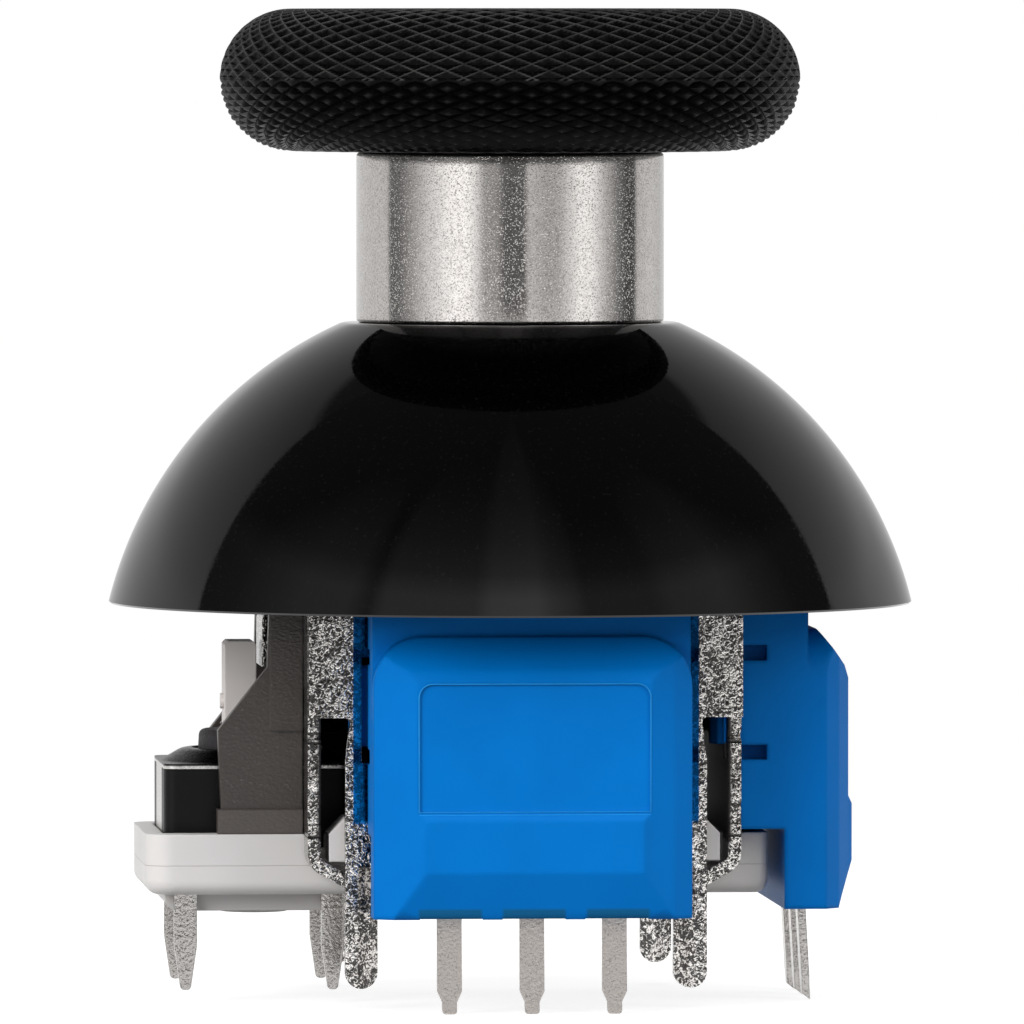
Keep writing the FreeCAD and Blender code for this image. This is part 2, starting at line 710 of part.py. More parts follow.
def corner_block():
    """Upright block inside the frame's front right corner, bevelled on top."""
    inner = tray_half
    block = box((inner, block_out), (-block_out, -inner + base_gap), block_z)
    top_out = edges_where(block, lambda e: e.BoundBox.XMin > block_out - 1e-6 and e.BoundBox.ZMin > block_z[1] - 1e-6)
    block = block.makeChamfer(block_bevel, top_out)
    rib = box((inner - 1, inner + 1), (-inner - base_gap * 4, -inner + 1), (block_z[0], base_z[1]))
    return block.fuse(rib)


def sensor_cover():
    """Moulded cover of the front sensor: bevelled body, flange, snap hooks, rotor bore and board slot."""
    crest = [(cover_flat - back, cover_top - down) for down, back in reversed(cover_top_bevel)]
    chin = [(cover_flat - back, cover_bottom + up) for up, back in cover_chin]
    profile = [
        (cover_back, cover_cut_z), (cover_back, cover_flange_top), (flange_face, cover_flange_top),
        (flange_face, cover_top), *crest, (cover_flat, cover_flat_top),
        (cover_flat, cover_band_z[1] + cover_band_step), (cover_band_face, cover_band_z[1]),
        (cover_band_face, cover_band_z[0]), *chin, (cover_low_back, cover_bottom), (cover_low_back, cover_cut_z),
    ]
    body = prism([(-out, z) for out, z in profile], "YZ", -cover_half, cover_half)
    right = [(cover_half - inset, back - cover_flat) for inset, back in cover_side_bevel]
    left = [(-u, y) for u, y in reversed(right)]
    plan = prism([(cover_half, -cover_back)] + right + left + [(-cover_half, -cover_back)],
                 "XY", cover_bottom - 1, cover_flange_top + 1)
    body = body.common(plan)
    face = prism([
        (-cover_half, cover_bottom - 1), (cover_half, cover_bottom - 1), (cover_half, cover_top, cover_crown),
        (-cover_half, cover_top, cover_crown),
    ], "XZ", -cover_band_face - 1, -flange_face)
    behind = box(span(cover_half), (-flange_face, -cover_back), (cover_bottom - 1, cover_flange_top))
    body = body.common(face.fuse(behind))
    body = body.cut(prism([
        (-panel_half, panel_z[0]), (panel_half, panel_z[0]), (panel_half, panel_z[1], panel_corner),
        (-panel_half, panel_z[1], panel_corner),
    ], "XZ", -cover_band_face - 1, -cover_flat + panel_depth))
    return finish_cover(body)


def finish_cover(body):
    """Cuts the cover's inside and adds its two snap hooks."""
    low = cover_bottom - 1
    cuts = [
        rod(rotor_r + running_gap, (0, -cover_back + 1, pivot_z), (0, -board_in + base_gap, pivot_z)),
        box(span(board_half + slide_gap), (-board_face - base_gap, -board_in + base_gap), (low, board_z[1] + slide_gap)),
        box(span(chip_half + slide_gap), (-board_face - chip_thick - slide_gap, -board_face),
            (low, pivot_z + chip_high / 2 + slide_gap)),
    ]
    wide = terminal_width / 2 + slide_gap
    for i in (-1, 0, 1):
        middle = i * terminal_pitch
        cuts.append(box((middle - wide, middle + wide), (-board_face - terminal_thick - slide_gap, -board_face),
                        (low, terminal_top_z + slide_gap)))
        cuts.append(box((middle - slot_half, middle + slot_half), (-cover_band_face, -board_face), (low, slot_top)))
    slot_y = (-frame_half - hook_slot_out, -cover_back + 1)
    hook_x = cover_half - hook_wall
    for x in (-1, 1):
        for z in hook_slots_z:
            cuts.append(box(ordered(x * hook_x, x * (cover_half + 1)), slot_y, z))
        relief = ordered(x * (hook_x - hook_relief), x * hook_x)
        cuts.append(box(relief, slot_y, (hook_slots_z[0][0], hook_slots_z[1][1])))
    body = body.cut(cuts[0].multiFuse(cuts[1:]))
    return joined([body, snap_hook(), mirrored_x(snap_hook())])


def snap_hook():
    """Right-hand tongue that passes through the frame's slot and catches behind its wall."""
    inner = cover_half - hook_wall
    outer = cover_half - base_gap
    catch = cover_half + hook_catch
    root_y = -cover_back - hook_wall
    tip_y = -wall_in + hook_in
    return prism([
        (inner, root_y), (inner, tip_y), (outer, tip_y), (catch, tip_y - hook_catch_depth / 2),
        (catch, tip_y - hook_catch_depth), (outer, tip_y - hook_catch_depth), (outer, root_y),
    ], "XY", hook_slots_z[0][1] + base_gap, hook_slots_z[1][0] - base_gap)


def ordered(a, b):
    return (min(a, b), max(a, b))


def rotor():
    """Magnet holder on the front shaft, with its pocket on the outer face."""
    disc = rod(rotor_r, (0, -rotor_in, pivot_z), (0, -rotor_end, pivot_z))
    shaft = rod(journal_r + fit_gap, (0, 0, pivot_z), (0, -socket_end - fit_gap, pivot_z))
    flat = to_side(shaft_flat())
    flat.translate(Vector(0, 0, fit_gap))
    pocket = rod(magnet_r + fit_gap, (0, -magnet_in + fit_gap, pivot_z), (0, -rotor_end - 1, pivot_z))
    return disc.cut(shaft.cut(mirrored_y(flat))).cut(pocket)


def magnet():
    return rod(magnet_r, (0, -magnet_in, pivot_z), (0, -rotor_end, pivot_z))


def circuit_board():
    return box(span(board_half), (-board_face, -board_in), board_z)


def field_sensor():
    """Chip on the outer face of the board, level with the magnet's centre."""
    chip = box(span(chip_half), (-board_face - chip_thick, -board_face),
               (pivot_z - chip_high / 2, pivot_z + chip_high / 2))
    front = edges_where(chip, lambda e: e.BoundBox.YMax < -board_face - chip_thick + 1e-6)
    return chip.makeChamfer(chip_thick / 5, front)


def terminals():
    """Three flat terminals with stepped tips, splayed outward below the cover."""
    half, tip = terminal_width / 2, terminal_tip_width / 2
    inner, outer = -board_face, -board_face - terminal_thick
    strip = prism([
        (inner, terminal_top_z), (inner, cover_bottom), (inner - terminal_lean, terminal_tip_z + terminal_bevel),
        (outer - terminal_lean, terminal_tip_z), (outer, cover_bottom), (outer, terminal_top_z),
    ], "YZ", -terminal_pitch - half, terminal_pitch + half)
    shapes = []
    for i in (-1, 0, 1):
        x = i * terminal_pitch
        face = prism([
            (x - half, terminal_top_z), (x - half, terminal_shoulder_z[0]), (x - tip, terminal_shoulder_z[1]),
            (x - tip, terminal_tip_z, terminal_tip_edge), (x + tip, terminal_tip_z, terminal_tip_edge),
            (x + tip, terminal_shoulder_z[1]), (x + half, terminal_shoulder_z[0]), (x + half, terminal_top_z),
        ], "XZ", outer - terminal_lean, inner)
        shapes += face.common(strip).Solids
    return Part.makeCompound(shapes)


def switch_terminals():
    """Four leaf-shaped pins of the push switch."""
    half, tip = pin_width / 2, pin_tip_width / 2
    shapes = []
    for x in (switch_x - pin_pitch / 2, switch_x + pin_pitch / 2):
        for y in (-pin_y, pin_y):
            shapes.append(prism([
                (x - half, pin_top_z), (x - half, pin_taper_z, pin_width), (x - tip, pin_tip_z, tip * 0.9),
                (x + tip, pin_tip_z, tip * 0.9), (x + half, pin_taper_z, pin_width), (x + half, pin_top_z),
            ], "XZ", y - pin_thick / 2, y + pin_thick / 2))
    return Part.makeCompound(shapes)


def switch_body():
    """Black moulding with a round cavity, and a recess on each end for the lid's wings."""
    body = box((switch_x - switch_half, switch_x + switch_half), span(switch_half_y), (switch_floor_z, switch_top))
    body = body.makeFillet(switch_corner, edges_where(body, upright))
    body = body.cut(rod(cavity_r, (switch_x, 0, cavity_z), (switch_x, 0, switch_top + 1)))
    for wing in lid_wings():
        body = body.cut(wing)
    for solid in switch_terminals().Solids:
        body = body.cut(solid)
    return body


def switch_cover():
    """Metal lid with a raised ring round the button and two side wings."""
    top = switch_top + lid
    plate = box((switch_x - switch_half, switch_x + switch_half), span(switch_half_y), (switch_top, top))
    plate = plate.makeFillet(switch_corner, edges_where(plate, upright))
    plate = plate.cut(rod(lid_dome_r - lid, (switch_x, 0, switch_top - 1), (switch_x, 0, top + 1)))
    crest = top + lid_dome_high
    dome = turned([
        (lid_dome_r - lid, switch_top), (lid_dome_r, top), (lid_hole_r + 2 * lid, crest, 4 * lid), (lid_hole_r, crest),
        (lid_hole_r, crest - lid), (lid_hole_r + lid, crest - lid, 3 * lid),
    ], (switch_x, 0))
    return joined([plate, dome] + lid_wings())


def lid_wings():
    """Side tongues of the lid, flush with the switch's ends."""
    wings = []
    for x in (-1, 1):
        face_x = switch_x + x * switch_half
        wings.append(box(ordered(face_x - x * lid, face_x), span(lid_wing_half), (lid_wing_z, switch_top + lid / 2)))
    return wings


def switch_button():
    """Drafted round button with a flange under the lid and a stub on the snap dome."""
    stub_z = cavity_z + snap_high + snap_thick / 2
    low, high = button_flange_z
    return turned([
        (0, stub_z), (button_stub_r, stub_z), (button_stub_r, low), (button_flange_r, low), (button_flange_r, high),
        (button_r, high), (button_r - button_draft, button_top, button_edge), (0, button_top),
    ], (switch_x, 0))


def switch_snap_dome():
    """Thin domed disc that clicks."""
    sphere_r = (snap_r ** 2 + snap_high ** 2) / (2 * snap_high)
    centre = Vector(switch_x, 0, cavity_z + snap_high - sphere_r)
    shell = Part.makeSphere(sphere_r, centre).cut(Part.makeSphere(sphere_r - snap_thick, centre))
    return shell.common(rod(snap_r, (switch_x, 0, cavity_z), (switch_x, 0, cavity_z + snap_high + 1)))


def press_slider():
    """Block between the bracket's ribs that carries the gimbal's end and rests over the switch button."""
    low = button_top + slider_lift
    body = box(slider_x, span(slider_half_y), (low, slider_top))
    top = edges_where(body, lambda e: e.BoundBox.ZMin > slider_top - 1e-6 and e.BoundBox.YLength > 1)
    body = body.makeChamfer(slider_corner, top)
    nub = rod(slider_nub_r, (slider_x[0] - slider_nub, 0, pivot_z), (slider_x[0] + slider_nub, 0, pivot_z))
    bore_end = slider_x[0] + slider_blind - running_gap
    bore = rod(slider_journal_r + running_gap, (bore_end, 0, pivot_z), (slider_x[1] + 1, 0, pivot_z))
    return body.fuse(nub).cut(bore)


def tenon(y, gap):
    """Peg of the bracket's foot in the tray's rim."""
    low, high = bracket_y
    reach = ordered(y * (low - gap), y * (high + gap))
    wide = (-frame_half - tenon_out[1] - gap, -frame_half - tenon_out[0] + gap)
    return box(wide, reach, (base_z[1] - tenon_deep - gap, base_z[1]))


def slope_x(z):
    """Where the near cheek's slope is at a height."""
    (top_out, top_z), (low_out, low_z) = bracket_slope
    return -frame_half - low_out + (z - low_z) / (top_z - low_z) * (low_out - top_out)


def bracket_side(drop):
    """Near cheek of the bracket with its strip, foot band, guide rib and tenon; drop lowers its slope."""
    low, high = bracket_y
    back = bracket_wall_x[1]
    foot_x = -frame_half - bracket_foot_out
    strip_x = -frame_half - bracket_strip_out
    slope = [(-frame_half - out, z - drop) for out, z in bracket_slope]
    waist = [(-frame_half - out, z) for out, z in bracket_waist]
    edge = [(strip_x, bracket_top)] + slope + waist + [(foot_x, bracket_band_z), (foot_x, base_z[1])]
    cheek = prism([(back, bracket_top)] + edge + [(back, base_z[1])], "XZ", -high, -low)
    strip = box((strip_x, back), (-high - bracket_band, -low), (bracket_strip_z, bracket_top))
    band = box((foot_x, back), (-high - bracket_band, -low), (base_z[1], bracket_band_z))
    rib_y = slider_half_y + slide_gap
    rib_low, rib_high = bracket_rib_z
    front = bracket_wall_x[0]
    rib = prism([
        (front, rib_high), (slope_x(rib_high) + bracket_rib_in, rib_high),
        (slope_x(rib_low) + bracket_rib_in, rib_low), (front, rib_low),
    ], "XZ", -rib_y - bracket_rib, -rib_y)
    return [cheek, strip, band, rib, tenon(-1, 0)]


def switch_bracket():
    """Saddle over the switch: two sloped cheeks, a slotted wall against the frame and two guide ribs."""
    wall = box(bracket_wall_x, span(bracket_y[0]), (bracket_leg_z, bracket_bridge_z[1]))
    past = (bracket_wall_x[0] - 1, bracket_wall_x[1] + 1)
    rib_y = slider_half_y + slide_gap
    wall = wall.cut(box(past, span(button_r + slide_gap), (0, bracket_rib_z[0])))
    wall = wall.cut(box(past, span(rib_y), (0, bracket_bridge_z[0])))
    far = [mirrored_y(shape) for shape in bracket_side(bracket_far_drop)]
    return joined([wall] + bracket_side(0) + far)


PIECES = {
    "dome_skirt": dome_skirt(),
    "stem_sleeve": stem_sleeve(),
    "grip_ring": grip_ring(),
    "lever": lever(),
    "lower_gimbal": lower_gimbal(),
    "upper_gimbal": upper_gimbal(),
    "spring_seat": spring_seat(),
    "return_spring": return_spring(),
    "frame": frame(),
    "base": base(),
    "front_sensor_cover": sensor_cover(),
    "side_sensor_cover": to_side(sensor_cover()),
    "front_rotor": rotor(),
    "side_rotor": to_side(rotor()),
    "front_magnet": magnet(),
    "side_magnet": to_side(magnet()),
    "front_circuit_board": circuit_board(),
    "side_circuit_board": to_side(circuit_board()),
    "front_field_sensor": field_sensor(),
    "side_field_sensor": to_side(field_sensor()),
    "front_terminals": terminals(),
    "side_terminals": to_side(terminals()),
    "switch_body": switch_body(),
    "switch_cover": switch_cover(),
    "switch_button": switch_button(),
    "switch_snap_dome": switch_snap_dome(),
    "switch_terminals": switch_terminals(),
    "press_slider": press_slider(),
    "switch_bracket": switch_bracket(),
}

os.makedirs("parts", exist_ok=True)
for name, shape in PIECES.items():
    solids = shape.Solids
    print(f"{name:22s} solids {len(solids)} valid {shape.isValid()} volume {shape.Volume:9.3f}")
    shape.exportStep(f"parts/{name}.step")
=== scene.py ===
"""Looks of the thumbstick module: materials, finer meshes for the cap, light, floor and camera."""

import math

import bmesh
import bpy
import numpy as np
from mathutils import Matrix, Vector

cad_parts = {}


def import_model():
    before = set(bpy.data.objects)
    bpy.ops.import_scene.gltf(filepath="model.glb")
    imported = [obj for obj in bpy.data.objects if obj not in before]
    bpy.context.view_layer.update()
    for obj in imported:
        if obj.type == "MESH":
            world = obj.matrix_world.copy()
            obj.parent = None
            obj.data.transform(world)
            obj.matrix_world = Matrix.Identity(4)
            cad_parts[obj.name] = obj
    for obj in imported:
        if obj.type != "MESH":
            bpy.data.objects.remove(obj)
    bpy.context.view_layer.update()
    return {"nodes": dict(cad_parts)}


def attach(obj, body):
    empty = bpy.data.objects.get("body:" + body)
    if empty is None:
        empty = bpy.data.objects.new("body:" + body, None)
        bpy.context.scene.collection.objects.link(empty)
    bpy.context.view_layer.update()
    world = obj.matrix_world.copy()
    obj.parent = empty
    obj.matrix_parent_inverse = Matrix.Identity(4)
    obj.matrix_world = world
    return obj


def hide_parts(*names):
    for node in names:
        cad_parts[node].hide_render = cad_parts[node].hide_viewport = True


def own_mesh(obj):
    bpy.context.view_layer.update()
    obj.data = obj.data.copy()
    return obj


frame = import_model()
nodes = frame["nodes"]

MM = 0.001

# Camera: a long lens a little to the left of the front, almost level with the cap
camera_distance = 500
camera_azimuth = -4.3
camera_elevation = 1.9
camera_target = (0.06, 0, 12.07)
pixels_per_mm = 32.56
picture_pixels = 1024
sensor_mm = 36

# Sizes that the finer meshes repeat from the source, in millimetres
pivot_z = 6.3
skirt_r = 12.7004
skirt_wall = 1.0
skirt_rim_z = 9.3
skirt_shoulder_r = 5.16
skirt_ceiling_z = 16.6047
cap_post_r = 2.75
cap_post_bottom_z = 14.3047
cap_core_r = 3.2
cap_core_top_z = 24.6047
sleeve_r = 4.72
sleeve_top_z = 23.12          # where the joint with the ring shows, about 0.12 above the source's
sleeve_edge = 0.12
ring_middle_r = 6.73
ring_edge_r = 2.18
ring_middle_z = 25.3447
ring_dish = 0.6
ring_land_r = 5.9
fit_gap = 0.02
floor_z = -2.8
skirt_shoulder_z = pivot_z + math.sqrt(skirt_r ** 2 - skirt_shoulder_r ** 2)

# Finer meshes: rounding of the skirt's rim and shoulder, rows up its outside and inside, and steps round each piece
skirt_lip = 0.06
skirt_rows = (72, 60)
skirt_around = 256
sleeve_around = 192

# Light: plain level on dull surfaces, floor, and lamps as (name, azimuth, elevation, size, level); sizes in metres
room_level = 0.45
floor_tint = 0.35
floor_lift = 0.8
floor_half = 0.2
floor_fade = (0.05, 0.12)     # distances from the middle between which the floor fades into the white round it
lamp_distance = 0.5
lamp_aim_z = 12               # height that the lamps point at, in millimetres
lamps = (
    ("left_lamp", -50, 21, 0.3, 0.82),
    ("right_lamp", 48, 28, 0.3, 0.31),
    ("top_lamp", 0, 58, 0.3, 0.25),
    ("back_lamp", 170, 35, 0.4, 0.4),
)

# What gloss reflects, as (azimuth, level): near eye level, and 30 degrees up
gloss_least = 0.04
gloss_top = 1.4
gloss_low = (
    (-180, 0.8), (-150, 0.7), (-109, 0.66), (-107, 0.15), (-96, 0.17), (-84, 0.38), (-73, 0.66), (-59, 1.05),
    (-47, 1.32), (-37, 1.32), (-33, 1.14), (-29, 0.95), (-24, 0.42), (-15, 0.38), (-12, 0.3), (-9, 0.13), (7, 0.13),
    (9, 0.66), (24, 0.45), (33, 0.5), (50, 1.2), (60, 1.15), (73, 0.55), (85, 0.2), (94, 0.08), (104, 0.08),
    (106, 0.6), (125, 0.72), (146, 0.6), (180, 0.8),
)
gloss_high = (
    (-108, 0.09), (-95, 0.13), (-80, 0.25), (-70, 0.35), (-55, 0.38), (-48, 0.2), (-43, 0.45), (-15, 0.48),
    (-10, 0.76), (4, 0.84), (9, 0.58), (16, 0.4), (19, 0.25), (40, 0.25), (47, 0.36), (64, 0.4), (77, 0.2),
    (90, 0.09), (104, 0.07),
)
gloss_join = (0.18, 0.3)      # heights, as the sine, between which the first turns into the second

# How the front fades above that, as (elevation, share), and the lit wall behind, as (elevation, level)
gloss_fade = ((0, 1), (30, 1), (37, 0.48), (47, 0.28), (60, 0.16), (75, 0.11), (90, 0.08))
wall_levels = (
    (0, 0.9), (8, 0.85), (14, 0.66), (19, 0.54), (26, 0.45), (36, 0.37), (48, 0.26), (51, 0.07), (90, 0.06),
)
wall_edge = (0.255, 0.185)    # how far back the wall starts, left and right, as a share of one
wall_lean = 0.15              # and further back above
wall_blur = 0.008             # half width of its edge

# Front cover: heights in the source and as they show, its flat front, its notches and the panel on it
cover_levels = (
    (0.1, 0.1), (0.33, 0.13), (0.45, 0.42), (1.52, 1.52), (3.25, 3.09), (3.5, 3.3), (3.55, 3.36), (7.05, 7.22),
    (7.1, 7.27), (8.6, 8.52),
)
cover_front_from = 9.5
cover_scoop_from = 8.9
cover_scoop_top = 1
cover_face = 10.1
panel_half = 3.5
panel_z = (3.36, 7.22)
panel_corner = 0.4
panel_line_r = 0.022
groove_line_r = 0.02
groove_drop = 0.09            # how far the groove line lies under the panel
thin_pitch = 2.54             # the thin places over the terminals: distance apart, half width and upper edge
thin_half = 0.95
thin_top = 0.42

# Frame: outer side of the slots beside the front cover in the source and as it shows, and places on its skin
slot_cad_x = 5.225
slot_seen_x = 5.0
slot_match = 0.02
frame_front_y = -6            # the front wall lies before this
frame_inner = 6.25            # the painted shade on the inner faces lies within this reach
inner_shade_from_z = 2.1             # and above this height
crimp_z = (2.43, 5.28)        # heights of the crimped joints in the corner strips
crimp_from_x = 6.1            # which lie outside this reach
edge_x = (5.27, 5.21)         # the sheet's edges beside the cover lie within this reach
edge_z = (2.8, 3.0)           # and above this height
edge_lean = 0.6               # how far they turn towards the cover
edge_least_glint = 0.35            # and the least share of painted glint on their skin, which paints them lighter

# Heights of the switch lid's flat top, the base's parting line and the bracket's foot
lid_top_z = 4.4
parting_z = 1.43
bracket_foot_z = 3.15

# Knurl: diamonds round the ring, their height along the edge in degrees, depth, and mesh steps per diamond
knurl_count = 54
knurl_degrees = 11.2
knurl_depth = 0.15
knurl_steps = 8
knurl_shift = 0.25            # the upper half is cut out of step with the lower one
knurl_fade = 6                # degrees over which it ends above and below


def tree_of(name):
    """New material, and its empty node tree."""
    material = bpy.data.materials.new(name)
    material.use_nodes = True
    tree = material.node_tree
    tree.nodes.clear()
    return material, tree


def add(tree, kind, inputs=None, **values):
    """Node with its settings and inputs; an input that is a socket is linked."""
    node = tree.nodes.new(kind)
    for key, value in values.items():
        setattr(node, key, value)
    for key, value in (inputs or {}).items():
        if isinstance(value, bpy.types.NodeSocket):
            tree.links.new(value, node.inputs[key])
        else:
            node.inputs[key].default_value = value
    return node


def maths(tree, operation, a, b=0.0, c=0.0):
    """Result of an operation on up to three numbers."""
    return add(tree, "ShaderNodeMath", {0: a, 1: b, 2: c}, operation=operation).outputs[0]


def off(tree, value, middle):
    """Distance between two values."""
    return maths(tree, "ABSOLUTE", maths(tree, "SUBTRACT", value, middle))


def axes(tree, where):
    """The three coordinates of a position."""
    return add(tree, "ShaderNodeSeparateXYZ", {0: where}).outputs


def mixed(tree, factor, a, b):
    """Blend of two colours."""
    node = add(tree, "ShaderNodeMix", data_type="RGBA")
    for index, value in ((0, factor), (6, a), (7, b)):
        if isinstance(value, bpy.types.NodeSocket):
            tree.links.new(value, node.inputs[index])
        else:
            node.inputs[index].default_value = value
    return node.outputs[2]


def mix_values(tree, factor, a, b):
    """Blend of two numbers."""
    return add(tree, "ShaderNodeMix", {0: factor, 2: a, 3: b}, data_type="FLOAT").outputs[0]


def ranged(tree, value, low, high, to_low=0.0, to_high=1.0, smooth=False):
    """Value mapped from one range to another, and held at the ends."""
    inputs = {"Value": value, "From Min": low, "From Max": high, "To Min": to_low, "To Max": to_high}
    kind = "SMOOTHSTEP" if smooth else "LINEAR"
    return add(tree, "ShaderNodeMapRange", inputs, interpolation_type=kind).outputs[0]


def place(tree, stretch=(1, 1, 1)):
    """Position on the object, in metres; stretch scales each axis."""
    spot = add(tree, "ShaderNodeTexCoord").outputs["Object"]
    if stretch == (1, 1, 1):
        return spot
    return add(tree, "ShaderNodeMapping", {"Vector": spot, "Scale": stretch}).outputs[0]


def noise(tree, where, size_mm, detail=2.0, rough=0.5, distort=0.0):
    """Noise whose lumps are about size_mm across."""
    inputs = {"Vector": where, "Scale": 1 / (size_mm * MM), "Detail": detail, "Roughness": rough,
              "Distortion": distort}
    return add(tree, "ShaderNodeTexNoise", inputs).outputs[0]


def cells(tree, where, size_mm):
    """Distance from the middles of soft cells about size_mm across."""
    inputs = {"Vector": where, "Scale": 1 / (size_mm * MM)}
    return add(tree, "ShaderNodeTexVoronoi", inputs, feature="SMOOTH_F1").outputs["Distance"]


def rounded(tree, radius_mm):
    """Normal that rounds the sharp edges of a moulding or a sheet."""
    return add(tree, "ShaderNodeBevel", {"Radius": radius_mm * MM}, samples=4).outputs[0]


def bumped(tree, height, depth_mm, under=None):
    """Normal from a height of 0 to 1 that stands for depth_mm."""
    inputs = {"Height": height, "Distance": depth_mm * MM}
    if under is not None:
        inputs["Normal"] = under
    return add(tree, "ShaderNodeBump", inputs).outputs[0]


def surface(tree, **inputs):
    """Principled shader on the material's output."""
    named = {key.replace("_", " "): value for key, value in inputs.items()}
    shader = add(tree, "ShaderNodeBsdfPrincipled", named)
    output = add(tree, "ShaderNodeOutputMaterial")
    tree.links.new(shader.outputs[0], output.inputs[0])


def colour(red, green, blue):
    """Linear colour from the 0 to 255 values that a screen shows."""
    def linear(value):
        value /= 255
        return value / 12.92 if value <= 0.04045 else ((value + 0.055) / 1.055) ** 2.4
    return (linear(red), linear(green), linear(blue), 1.0)


def toned(tint, share):
    """The same colour, darker or paler."""
    return tuple(share * value for value in tint[:3]) + (1.0,)


def plated_metal(name, tint, grain_mm, depth_mm, rough):
    """Bright metal with fine grain."""
    material, tree = tree_of(name)
    where = place(tree)
    grain = noise(tree, where, grain_mm, 3.0, 0.6)
    stain = noise(tree, where, 0.9, 2.0)
    base = mixed(tree, ranged(tree, stain, 0.35, 0.65), toned(tint, 0.72), tint)
    surface(tree, Base_Color=base, Metallic=1.0, Roughness=ranged(tree, grain, 0.3, 0.7, rough * 0.7, rough * 1.3),
            Normal=bumped(tree, grain, depth_mm, rounded(tree, 0.03)))
    return material


def moulded_plastic(name, tint, rough, grain_mm=0.06, depth_mm=0.0015, vary=0.08, gloss=0.4, soft_edge=0.07,
                    thin=None):
    """Moulded plastic with a faint grain and a slight drift in colour, and thin places where asked."""
    material, tree = tree_of(name)
    where = place(tree)
    grain = noise(tree, where, grain_mm, 2.0)
    drift = noise(tree, where, 2.5, 2.0)
    base = mixed(tree, ranged(tree, drift, 0.35, 0.65), toned(tint, 1 - vary), tint)
    if thin:
        base = mixed(tree, over_terminals(tree, where), base, thin)
    surface(tree, Base_Color=base, Roughness=ranged(tree, grain, 0.3, 0.7, rough * 0.88, rough * 1.12),
            Normal=bumped(tree, grain, depth_mm, rounded(tree, soft_edge)), Specular_IOR_Level=gloss)
    return material


def over_terminals(tree, where):
    """Mask of the thin places on a sensor cover's lower edge, one over each terminal."""
    x, y, z = axes(tree, where)
    x, y = maths(tree, "ABSOLUTE", x), maths(tree, "ABSOLUTE", y)
    outward, along = maths(tree, "MAXIMUM", x, y), maths(tree, "MINIMUM", x, y)
    nearest = maths(tree, "MINIMUM", along, off(tree, along, thin_pitch * MM))
    beside = ranged(tree, nearest, (thin_half + 0.05) * MM, (thin_half - 0.05) * MM)
    below = ranged(tree, z, (thin_top + 0.04) * MM, (thin_top - 0.04) * MM)
    in_front = maths(tree, "GREATER_THAN", outward, cover_scoop_from * MM)
    return maths(tree, "MULTIPLY", maths(tree, "MULTIPLY", beside, below), in_front)


def grained_plastic(name, tint, cell_mm, depth_mm, rough):
    """Plastic with a fine leathery grain, bright specks painted on as glints, and the foot painted paler as if lit."""
    material, tree = tree_of(name)
    where = place(tree, (1, 1, 1.5))
    wavy = noise(tree, where, cell_mm, 2.0, 0.5, 0.8)
    relief = maths(tree, "ADD", wavy, cells(tree, where, cell_mm * 1.2))
    drift = noise(tree, where, 1.5)
    height = axes(tree, place(tree))[2]
    # Painted light: the foot is painted paler, as if lit from the left
    painted_lit_foot = ranged(tree, height, (bracket_foot_z + 0.02) * MM, bracket_foot_z * MM)
    base = mixed(tree, ranged(tree, drift, 0.3, 0.7), toned(tint, 0.85), tint)
    base = mixed(tree, painted_lit_foot, base, toned(tint, 1.45))
    # Painted glints: the highest grain is painted much paler, as bright specks
    base = mixed(tree, ranged(tree, wavy, 0.64, 0.8), base, toned(tint, 2.6))
    surface(tree, Base_Color=base, Roughness=rough, Normal=bumped(tree, relief, depth_mm, rounded(tree, 0.08)))
    return material


def polished_black(name):
    """Deep gloss black with the faintest orange peel and dust-fine marks."""
    material, tree = tree_of(name)
    where = place(tree)
    peel = noise(tree, where, 2.2, 1.0)
    marks = noise(tree, where, 0.11, 2.0, 0.6)
    haze = noise(tree, place(tree, (1, 1, 0.25)), 0.7, 3.0, 0.6)
    rough = maths(tree, "ADD", ranged(tree, marks, 0.5, 0.72, 0.02, 0.12), ranged(tree, haze, 0.4, 0.7, 0.0, 0.05))
    normal = bumped(tree, marks, 0.0004, bumped(tree, peel, 0.0015))
    dust = mixed(tree, ranged(tree, marks, 0.62, 0.75), (0.0003, 0.0003, 0.0003, 1), (0.004, 0.0036, 0.0036, 1))
    surface(tree, Base_Color=dust, Roughness=rough, IOR=1.5, Normal=normal)
    return material


def blasted_steel(name):
    """Steel tube with a sandblasted skin."""
    material, tree = tree_of(name)
    where = place(tree)
    grain = noise(tree, where, 0.06, 3.0, 0.75)
    blotch = noise(tree, where, 0.3, 3.0, 0.6)
    sparkle = ranged(tree, noise(tree, where, 0.05, 1.0), 0.6, 0.75)
    normal = bumped(tree, sparkle, 0.006, bumped(tree, grain, 0.0012))
    clean = mixed(tree, ranged(tree, blotch, 0.3, 0.7), (0.7, 0.665, 0.64, 1), (0.8, 0.77, 0.745, 1))
    base = mixed(tree, ranged(tree, grain, 0.34, 0.52), (0.4, 0.38, 0.365, 1), clean)
    surface(tree, Base_Color=base, Metallic=1.0, Roughness=ranged(tree, grain, 0.3, 0.7, 0.05, 0.1), Normal=normal)
    return material


